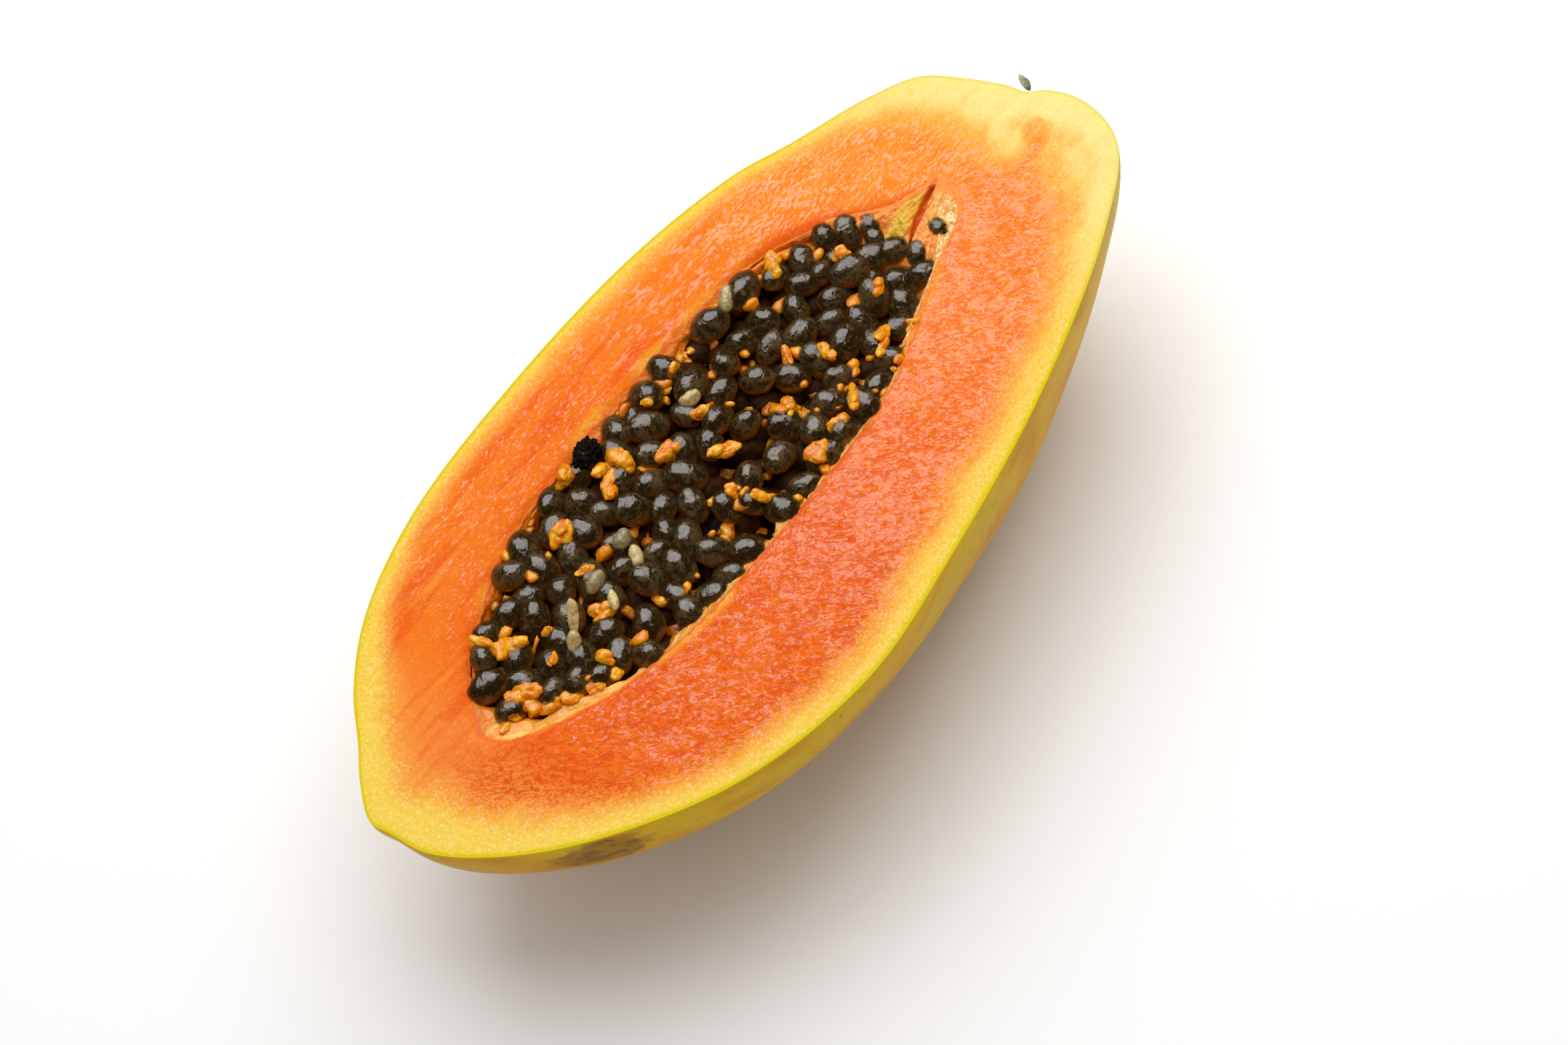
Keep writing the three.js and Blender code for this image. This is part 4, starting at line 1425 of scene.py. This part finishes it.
def knob(size, turn, lean, seed, rough, lump, detail=4):
    """A knobbly lump of a size in millimetres, turned and leaning, as points and faces."""
    shape = bmesh.new()
    bmesh.ops.create_icosphere(shape, subdivisions=detail, radius=1.0)
    points = np.array([v.co[:] for v in shape.verts])
    faces = [[v.index for v in face.verts] for face in shape.faces]
    shape.free()
    half = np.array(size) * KNOB_SWELL / 2
    placed = points * half
    bumps = noise_field(placed, lump, seed, 3)
    bites = np.clip(noise_field(placed, lump * 2.2, seed + 50, 2) - 0.15, 0, None)
    placed = placed * (1 + rough * (bumps - KNOB_BITE * bites))[:, None]
    placed[:, 2] += KNOB_BEND * half[0] * (points[:, 0] ** 2 - 0.4)
    grain = noise_field(placed, 0.7, seed + 90, 2) * GRAIN_OF_KNOB * (rough > 0.2)
    placed = placed + points * grain[:, None]
    turned = Matrix.Rotation(turn, 3, "Z") @ Matrix.Rotation(lean, 3, "Y")
    return placed @ np.array(turned).T, faces


def join_knobs(name, knobs, shades=None):
    """One piece from many knobs, with a shade of its own for each where they are given."""
    points, faces, start = [], [], 0
    for placed, its_faces in knobs:
        points.append(placed)
        faces.extend([[i + start for i in face] for face in its_faces])
        start += len(placed)
    measures = {}
    if shades:
        measures["shade"] = np.repeat(shades, [len(placed) for placed in points])
    return make_piece(name, np.vstack(points), faces, measures)


# %% Crumbs of pulp: place, length, width and turn
CRUMBS = [
    (-33.2, 20.1, 5.2, 3.6, 0.4), (-58.7, 11.8, 6.0, 3.4, -0.5), (-42.0, 18.4, 5.4, 3.6, 0.1),
    (-37.3, 10.0, 3.8, 2.4, -0.4), (-41.6, 1.7, 4.4, 3.6, 0.9), (-64.2, 3.5, 7.0, 3.2, -0.7),
    (-55.9, 2.6, 3.6, 1.8, 0.2), (-49.1, -5.3, 2.4, 3.0, 0.6), (-51.4, 7.6, 2.2, 2.0, 0.2),
    (-61.5, 16.0, 2.6, 4.6, 0.3), (-7.1, 14.3, 4.4, 3.4, 0.2), (-14.4, 19.5, 6.2, 4.2, 1.2),
    (-17.8, 22.3, 4.6, 3.0, -0.3), (-20.5, 18.0, 6.0, 2.8, 0.3), (-0.8, 5.6, 5.6, 2.4, -0.6),
    (-6.6, -1.9, 3.8, 3.2, 0.8), (-10.3, -0.5, 2.2, 2.0, 0.1), (-4.3, -8.5, 4.8, 2.2, -1.2),
    (9.4, -11.6, 4.2, 3.6, 0.5), (16.9, -10.6, 3.8, 3.4, 0.2), (22.5, -10.2, 5.6, 2.8, 0.4),
    (14.8, 1.7, 4.2, 3.2, 0.9), (27.5, 0.9, 5.0, 2.6, 1.3), (22.7, 7.3, 3.6, 2.0, 1.1),
    (3.1, 13.4, 5.4, 2.8, -0.5), (7.0, 25.2, 3.4, 2.4, 0.6), (-1.1, 24.1, 2.8, 2.0, 0.9),
    (-13.8, -5.9, 3.8, 3.0, 0.6), (-24.0, 27.2, 4.6, 3.2, 0.2), (46.6, 12.4, 4.0, 3.0, 0.9),
    (44.8, 1.6, 3.6, 2.8, 0.4), (37.4, -5.4, 4.8, 2.4, -0.2), (34.5, -7.4, 4.2, 1.8, 0.1),
    (36.5, 22.2, 3.4, 2.6, 0.8), (38.0, 24.5, 4.0, 2.8, 0.5),
]

SHELF_LUMPS = [
    (-67.4, 3.0, 4.6, 3.2, 0.6), (-64.4, 0.4, 4.8, 4.0, -0.4), (-61.6, -2.0, 5.0, 4.2, -0.6),
    (-58.2, -4.6, 4.6, 3.6, -0.5), (-54.6, -6.6, 4.0, 3.0, -0.3), (-63.0, 3.0, 3.4, 2.6, 0.4),
    (-70.8, 2.6, 3.4, 2.2, 0.3), (-50.4, -8.4, 3.4, 2.4, -0.2),
]
SHELF_LUMP_DROP = 1.9


def side_of(loop, sign):
    """One side of the cavity's edge as x and y, in order of x."""
    side = loop[sign * (loop[:, 1] - 4) > 0]
    return side[np.argsort(side[:, 0])].T


lower_side = side_of(cavity_loop, -1)
upper_side = side_of(cavity_loop, 1)
CRUMB_PARTS = 2
CRUMB_TOP = CUT_Z + 1.6
SMALL_CRUMBS = 200
SMALL_CRUMB_SIZES = (1.2, 3.2)
SMALL_CRUMB_TOP = CUT_Z + 0.2
STRANDS = 55
STRAND_LENGTHS = (3.0, 6.5)
STRAND_WIDTHS = (0.9, 2.2)
STRAND_SINKS = (1.2, 2.6)
STRAND_TOP = CUT_Z - 0.5
GAP_TRIES = 4


def lowest(spots):
    """The spot of a few where the heap is lowest."""
    tops = [heap_height(x, y, 0.0) for x, y in spots]
    return spots[int(np.argmin(tops))]


def strand(draw, number):
    """A thin wisp of pulp laid low across a gap between seeds."""
    spots = np.column_stack([draw.uniform(-66, 46, GAP_TRIES), draw.uniform(0, 1, GAP_TRIES)])
    low = np.interp(spots[:, 0], *lower_side)
    high = np.interp(spots[:, 0], *upper_side)
    spots[:, 1] = low + (high - low) * (0.06 + 0.88 * spots[:, 1])
    x, y = lowest(spots)
    size = np.array([draw.uniform(*STRAND_LENGTHS), draw.uniform(*STRAND_WIDTHS), 1.0])
    lean = draw.uniform(-0.5, 0.5)
    placed, faces = knob(size, draw.uniform(0, math.pi), lean, 900 + number, 0.45, 1.3, 3)
    top = min(heap_height(x, y, 1.0), STRAND_TOP)
    return placed + (x, y, top - draw.uniform(*STRAND_SINKS)), faces


def large_crumb(draw, number, crumb):
    """Two overlapping knobs, one after the other along the crumb."""
    x, y, length, width, turn = crumb
    height = min(heap_height(x, y), CRUMB_TOP)
    along = np.array([math.cos(turn), math.sin(turn), 0])
    across = np.array([-math.sin(turn), math.cos(turn), 0])
    for part in range(CRUMB_PARTS):
        step = (part - (CRUMB_PARTS - 1) / 2) * length * 0.3
        size = np.array([length * 0.84, width * 0.95, width * 0.7])
        size = size * draw.uniform(0.7, 1.3, 3)
        lean = draw.uniform(-0.6, 0.6)
        placed, faces = knob(size, turn + lean, lean, 200 + 7 * number + part, 0.36, 2.6, 4)
        place = np.array([x, y, height - 0.1 * width])
        place = place + along * step + across * draw.uniform(-0.15, 0.15) * width
        place[2] += draw.uniform(-0.15, 0.2) * width
        yield placed + place, faces


def small_crumb(draw, number):
    """A grain of pulp in a gap near the cavity's edge, or none where the fan begins."""
    edges = cavity_loop[draw.integers(len(cavity_loop), size=GAP_TRIES)]
    share = 0.98 - draw.uniform(0.0, 1.0, (GAP_TRIES, 1)) ** 3 * 0.8
    x, y = lowest(HEART + (edges - HEART) * share)
    size = draw.uniform(*SMALL_CRUMB_SIZES) * draw.uniform([1.0, 0.7, 0.6], [1.6, 1.0, 0.8])
    place = np.array([x, y, min(heap_height(x, y, 1.5), SMALL_CRUMB_TOP) - 0.35 * size[2]])
    placed, faces = knob(size, draw.uniform(0, 3), 0.3, 600 + number, 0.35, 1.2, 2)
    if x < SEED_END - 4:
        yield placed + place, faces


def build_crumbs():
    """Every crumb, strand and lump of the shelf as one piece."""
    draw = np.random.default_rng(5)
    knobs = []
    for number, crumb in enumerate(CRUMBS):
        knobs.extend(large_crumb(draw, number, crumb))
    for number in range(SMALL_CRUMBS):
        knobs.extend(small_crumb(draw, number))
    knobs += [strand(draw, number) for number in range(STRANDS)]
    for number, (x, y, length, width, turn) in enumerate(SHELF_LUMPS):
        placed, faces = knob((length, width, width * 0.8), turn, 0.2, 300 + number, 0.42, 2.4, 4)
        knobs.append((placed + (x, y, CUT_Z - SHELF_LUMP_DROP), faces))
    return join_knobs("pulp_crumbs", knobs)


crumbs = build_crumbs()

# %% Crumb finish
SHADE_HEIGHTS = (CUT_Z - 5.0, CUT_Z - 0.5)


def crumb_finish():
    """Bright moist pulp, with painted shade: darker the lower it lies, and on its sides and
    underside.
    """
    f = Finish("pulp crumb")
    patch = f.swing(2.6, 3, 0.5)
    fine = f.swing(0.9, 3, 0.5, shift=3)
    height = f.node("ShaderNodeSeparateXYZ", f.place).out("Z") / MM
    # painted shade: the lower a crumb lies in the heap, the darker its colour
    sunk = (height + patch * 3).fall(*SHADE_HEIGHTS)
    colour = f.coats(
        f.mix((0.5 + patch * 1.9).rise(0.2, 0.85), (234, 126, 0), (252, 180, 16)),
        ((0.5 + fine * 1.2 + patch).rise(0.65, 0.95) * 0.5, (252, 208, 80)),
        # painted shade on the sides and the underside of each crumb
        (facing_up(f).fall(0.0, 0.7) * 0.5, (206, 90, 0)),
        (sunk * 0.85, (160, 76, 2)),
    )
    normal = f.bumps((f.noise(0.6, 3, 0.7, shift=8), 0.22, 0.9))
    return f.close(f.surface(
        colour, 0.14, Normal=normal, Subsurface_Weight=0.2, Subsurface_Radius=(1.0, 0.6, 0.2),
        Subsurface_Scale=MM, Specular_IOR_Level=0.35,
    ))


dress(crumbs, crumb_finish())

# %% Pale seeds, the black seed and the sprout
PALE_SEEDS = [
    (-27.7, 8.6, 3.7, 3.1, 0.2), (-28.9, 4.1, 4.7, 2.5, 0.9), (-38.0, 6.8, 4.3, 2.9, 0.1),
    (4.2, 17.7, 3.9, 2.7, -0.5), (25.8, 26.2, 4.9, 2.9, 0.5),
]
PALE_SEED_SHADES = [0.7, 0.15, 0.65, 0.2, 0.45, 0.0, 0.15, 0.0]
BLACK_SEED = (-17.4, 27.0, 5.4, 4.4, 0.1)
SPROUT_FOOT = (-51.2, 1.0)
SPROUT_PARTS = [
    ((0.8, 0.5, 1.3), (4.0, 2.4, 2.3), 0.75), ((4.2, 2.8, 4.2), (6.6, 1.9, 1.8), 0.8),
]
SMALL_SPROUT = (-39.1, 0.7, 3.6, 1.8, 0.9)
ODD_SEED_TOP = CUT_Z + 0.8
ODD_SEED_LEAN = -0.25


def odd_seed(place, seed, rough, height=0.0, lump=1.4, detail=4):
    """A knob on top of the heap, given by its place, length, width and turn."""
    x, y, length, width, turn = place
    size = (length, width, width * 0.95)
    placed, faces = knob(size, turn, ODD_SEED_LEAN, seed, rough, lump, detail)
    return placed + (x, y, min(heap_height(x, y), ODD_SEED_TOP) + height), faces


def build_pale_seeds():
    """The unripe seeds and the sprout, which stands on two knobs of its own."""
    knobs = [odd_seed(place, 400 + i, 0.08) for i, place in enumerate(PALE_SEEDS)]
    knobs.append(odd_seed(SMALL_SPROUT, 431, 0.1, 1.6))
    base = heap_height(*SPROUT_FOOT) - 1.2
    for shift, size, lean in SPROUT_PARTS:
        placed, faces = knob(size, 0.6, -lean, 440 + len(knobs), 0.1, 1.6)
        place = np.array((*SPROUT_FOOT, base)) + shift
        knobs.append((placed + place, faces))
    return join_knobs("pale_seeds", knobs, PALE_SEED_SHADES)


def pale_seed_finish():
    """Cream with small specks, or grey where the shade of a seed is high."""
    f = Finish("unripe seed", "shade")
    speck = f.specks(0.8, 0.4, 4)
    patch = (0.5 + f.swing(1.8, 4, 0.5) * 1.5).rise(0.2, 0.8)
    colour = f.coats(
        f.mix(patch, (222, 196, 126), (178, 148, 84)),
        (speck * 0.6, (238, 220, 162)),
        (f.shade, f.mix(speck, (92, 80, 50), (128, 116, 78))),
    )
    normal = f.bumps((f.noise(0.7, 3, 0.3, shift=2), 0.2, 0.8))
    return f.close(f.surface(
        colour, 0.4, Normal=normal, Subsurface_Weight=0.2, Subsurface_Radius=(1.0, 0.7, 0.3),
        Subsurface_Scale=MM,
    ))


def black_seed_finish():
    """A matt black crust."""
    f = Finish("dried seed")
    crust = f.noise(0.7, 4, 0.8)
    colour = f.mix(crust.rise(0.45, 0.75), (9, 6, 4), (50, 38, 24))
    normal = f.bumps((crust, 0.5, 1.0))
    return f.close(f.surface(colour, 0.85, Normal=normal, Specular_IOR_Level=0.05))


pale_seeds = build_pale_seeds()
dress(pale_seeds, pale_seed_finish())
black_seed = join_knobs("black_seed", [odd_seed(BLACK_SEED, 470, 0.21, 0.3, 0.8, 5)])
dress(black_seed, black_seed_finish())

# %% [markdown]
# ## The dried sepal
#
# A scrap of the dried flower base still stands in the dimple at the stem. It is a small
# curled blade, thin at its edges and thicker along its middle.

# %% Build the sepal
SEPAL_FOOT = np.array([98.8, 5.3, CUT_Z - 0.6])
SEPAL_TIP = np.array([99.9, 8.9, CUT_Z + 1.3])
SEPAL_WIDTH = 1.9
SEPAL_THICKNESS = 0.5
SEPAL_CURL = 0.4
SEPAL_RINGS = 26
SEPAL_ROUND = 28


def build_sepal():
    """Oval rings from foot to tip, with their sides curled up."""
    along = SEPAL_TIP - SEPAL_FOOT
    length = np.linalg.norm(along)
    along = along / length
    across = np.cross(along, (0, 0, 1.0))
    across /= np.linalg.norm(across)
    out = np.cross(across, along)
    share = np.linspace(0.01, 0.99, SEPAL_RINGS)[:, None]
    around = np.linspace(0, 2 * math.pi, SEPAL_ROUND, endpoint=False)[None]
    wide = SEPAL_WIDTH / 2 * np.sin(math.pi * share) ** 0.75 * (1.1 - 0.35 * share)
    thick = SEPAL_THICKNESS / 2 * np.sin(math.pi * share) ** 0.5
    side = wide * np.cos(around)
    lift = thick * np.sin(around) + SEPAL_CURL * (side / SEPAL_WIDTH * 2) ** 2
    bend = 0.5 * SEPAL_CURL * np.sin(math.pi * share)
    rings = (
        SEPAL_FOOT + (share * length)[..., None] * along
        + side[..., None] * across + (lift + bend)[..., None] * out
    )
    rim = np.abs(np.cos(around)) * np.ones_like(share)
    measures = {"rim": rim, "along": share * np.ones_like(around)}
    return closed_rings("sepal", rings, measures)


def sepal_finish():
    """Dry grey green, dark along its rim and brown at its foot."""
    f = Finish("dry sepal", "rim", "along")
    patch = f.swing(0.9, 4, 0.5)
    colour = f.coats(
        f.mix((0.5 + patch * 1.5).rise(0.2, 0.8), (178, 182, 142), (128, 128, 84)),
        ((f.rim + patch * 0.6).rise(0.8, 0.98), (70, 52, 30)),
        ((f.along + patch * 0.3).fall(0.15, 0.35) * 0.8, (104, 70, 30)),
    )
    normal = f.bumps((f.noise(0.5, 3, 0.4, stretch=(1, 1, 3)), 0.15, 0.8))
    return f.close(f.surface(colour, 0.75, Normal=normal))


sepal = build_sepal()
dress(sepal, sepal_finish())

# %% [markdown]
# ## Floor, room and lights
#
# Wet food looks best under one very large soft source: the shadow gets no edge, and each
# seed carries one broad highlight. A single panel could do both jobs, but then moving the
# highlights would move the shadow. So a softbox gives only the light, and a card that hangs
# where the camera's view mirrors off the cut face gives only the reflections. The pale floor
# and the white room fill the shadows.

# %% Floor, room and lights
FLOOR_HALF = 3.0
FLOOR_WHITE = (0.94, 0.94, 0.94, 1.0)
ROOM_STRENGTH = 0.41
LIGHT_DISTANCE = 1.05
SOFTBOX_FROM = Vector((0.380, 0.228, 0.890))
CARD_FROM = Vector((0.25, 0.433, 0.866)).normalized()
SOFTBOX = {"size": 1.2, "watts": 10.4}
CARD = {"size": 1.35, "watts": 34.0}


def build_floor():
    """A level white square under the fruit, far wider than the view."""
    h = FLOOR_HALF
    mesh = bpy.data.meshes.new("floor")
    mesh.from_pydata([(-h, -h, 0), (h, -h, 0), (h, h, 0), (-h, h, 0)], [], [(0, 1, 2, 3)])
    f = Finish("pale floor")
    floor = put_in_scene("floor", mesh)
    dress(floor, f.close(f.surface(FLOOR_WHITE, 0.6)))
    return floor


def white_room():
    """An even white surrounding that lights the fruit but isn't mirrored in it."""
    world = bpy.data.worlds.new("white room")
    bpy.context.scene.world = world
    world.use_nodes = True
    background = world.node_tree.nodes["Background"]
    background.inputs["Color"].default_value = (1, 1, 1, 1)
    background.inputs["Strength"].default_value = ROOM_STRENGTH
    world.cycles_visibility.glossy = False


def square_light(name, direction, beside, size, watts):
    """A square panel that faces the fruit, with one pair of edges along another direction."""
    light = bpy.data.lights.new(name, "AREA")
    light.shape = "SQUARE"
    light.size = size
    light.energy = watts
    panel = put_in_scene(name, light)
    direction = direction.normalized()
    along = (beside - direction * beside.dot(direction)).normalized()
    turn = Matrix((along, direction.cross(along), direction)).transposed().to_4x4()
    panel.matrix_world = Matrix.Translation(direction * LIGHT_DISTANCE) @ turn
    return panel


floor = build_floor()
floor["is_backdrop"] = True
white_room()
softbox = square_light("softbox", SOFTBOX_FROM, CARD_FROM, **SOFTBOX)
softbox.visible_glossy = False
card = square_light("gloss card", CARD_FROM, SOFTBOX_FROM, **CARD)
card.visible_diffuse = False
print("lights", softbox.name, softbox.data.energy, card.name, card.data.energy)

# %% [markdown]
# ## Camera
#
# The camera looks down at 60 degrees with a long lens, so the cut face shows almost whole
# and the rind only as a rim. It is rolled to stand the fruit on a slant. Its place could be
# given as a matrix, but three angles, a target and a distance say what it looks at.

# %% Place the camera
VIEW_AZIMUTH = math.radians(29.5526)
VIEW_ELEVATION = math.radians(60.0005)
VIEW_ROLL = math.radians(-23.5004)
VIEW_TARGET = Vector((-0.00079, -0.00574, 0.03))
VIEW_DISTANCE = 0.9135
LENS = 104.33


def place_camera():
    """A camera turned by three angles that steps back from its target."""
    camera = put_in_scene("camera", bpy.data.cameras.new("camera"))
    turn = Matrix.Rotation(-VIEW_AZIMUTH, 4, "Z")
    turn = turn @ Matrix.Rotation(math.pi / 2 - VIEW_ELEVATION, 4, "X")
    turn = turn @ Matrix.Rotation(VIEW_ROLL, 4, "Z")
    step_back = turn @ Vector((0, 0, VIEW_DISTANCE))
    camera.matrix_world = Matrix.Translation(VIEW_TARGET + step_back) @ turn
    camera.data.sensor_width = 36
    camera.data.lens = LENS
    camera.data.clip_start = 0.01
    bpy.context.scene.camera = camera
    bpy.context.scene.view_settings.view_transform = "Standard"
    return camera


camera = place_camera()
print("camera at", [round(v, 4) for v in camera.matrix_world.translation])

# %% [markdown]
# ## What each piece stands for
#
# The finished pieces take the place of the three plain solids of the imported model. Flesh and
# rind are the first one, everything in the cavity the second, and the sepal the third. All
# of them move with the one body there is.

# %% Replace the plain solids
STAND_INS = {
    ("papaya_flesh", "flesh"): [flesh, rind],
    ("seed_heap", "seeds"): [
        pulp_bed, lining, stem_pulp, seeds_top, seeds_gel, seeds_low, crumbs, pale_seeds,
        black_seed,
    ],
    ("calyx_scrap", "sepal"): [sepal],
}
for (node, slot), pieces in STAND_INS.items():
    for piece in pieces:
        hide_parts(node)
        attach(piece, "root")
    print(node, "is shown by", [piece.name for piece in pieces])

# %% Both boxes as plain numbers
VISUAL_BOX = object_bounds()
boxes = {"cad": CAD_BOX, "visual": VISUAL_BOX}
plain = {name: [[float(v) for v in corner] for corner in box] for name, box in boxes.items()}
print("finished box, mm", [[round(v / MM, 1) for v in corner] for corner in VISUAL_BOX])
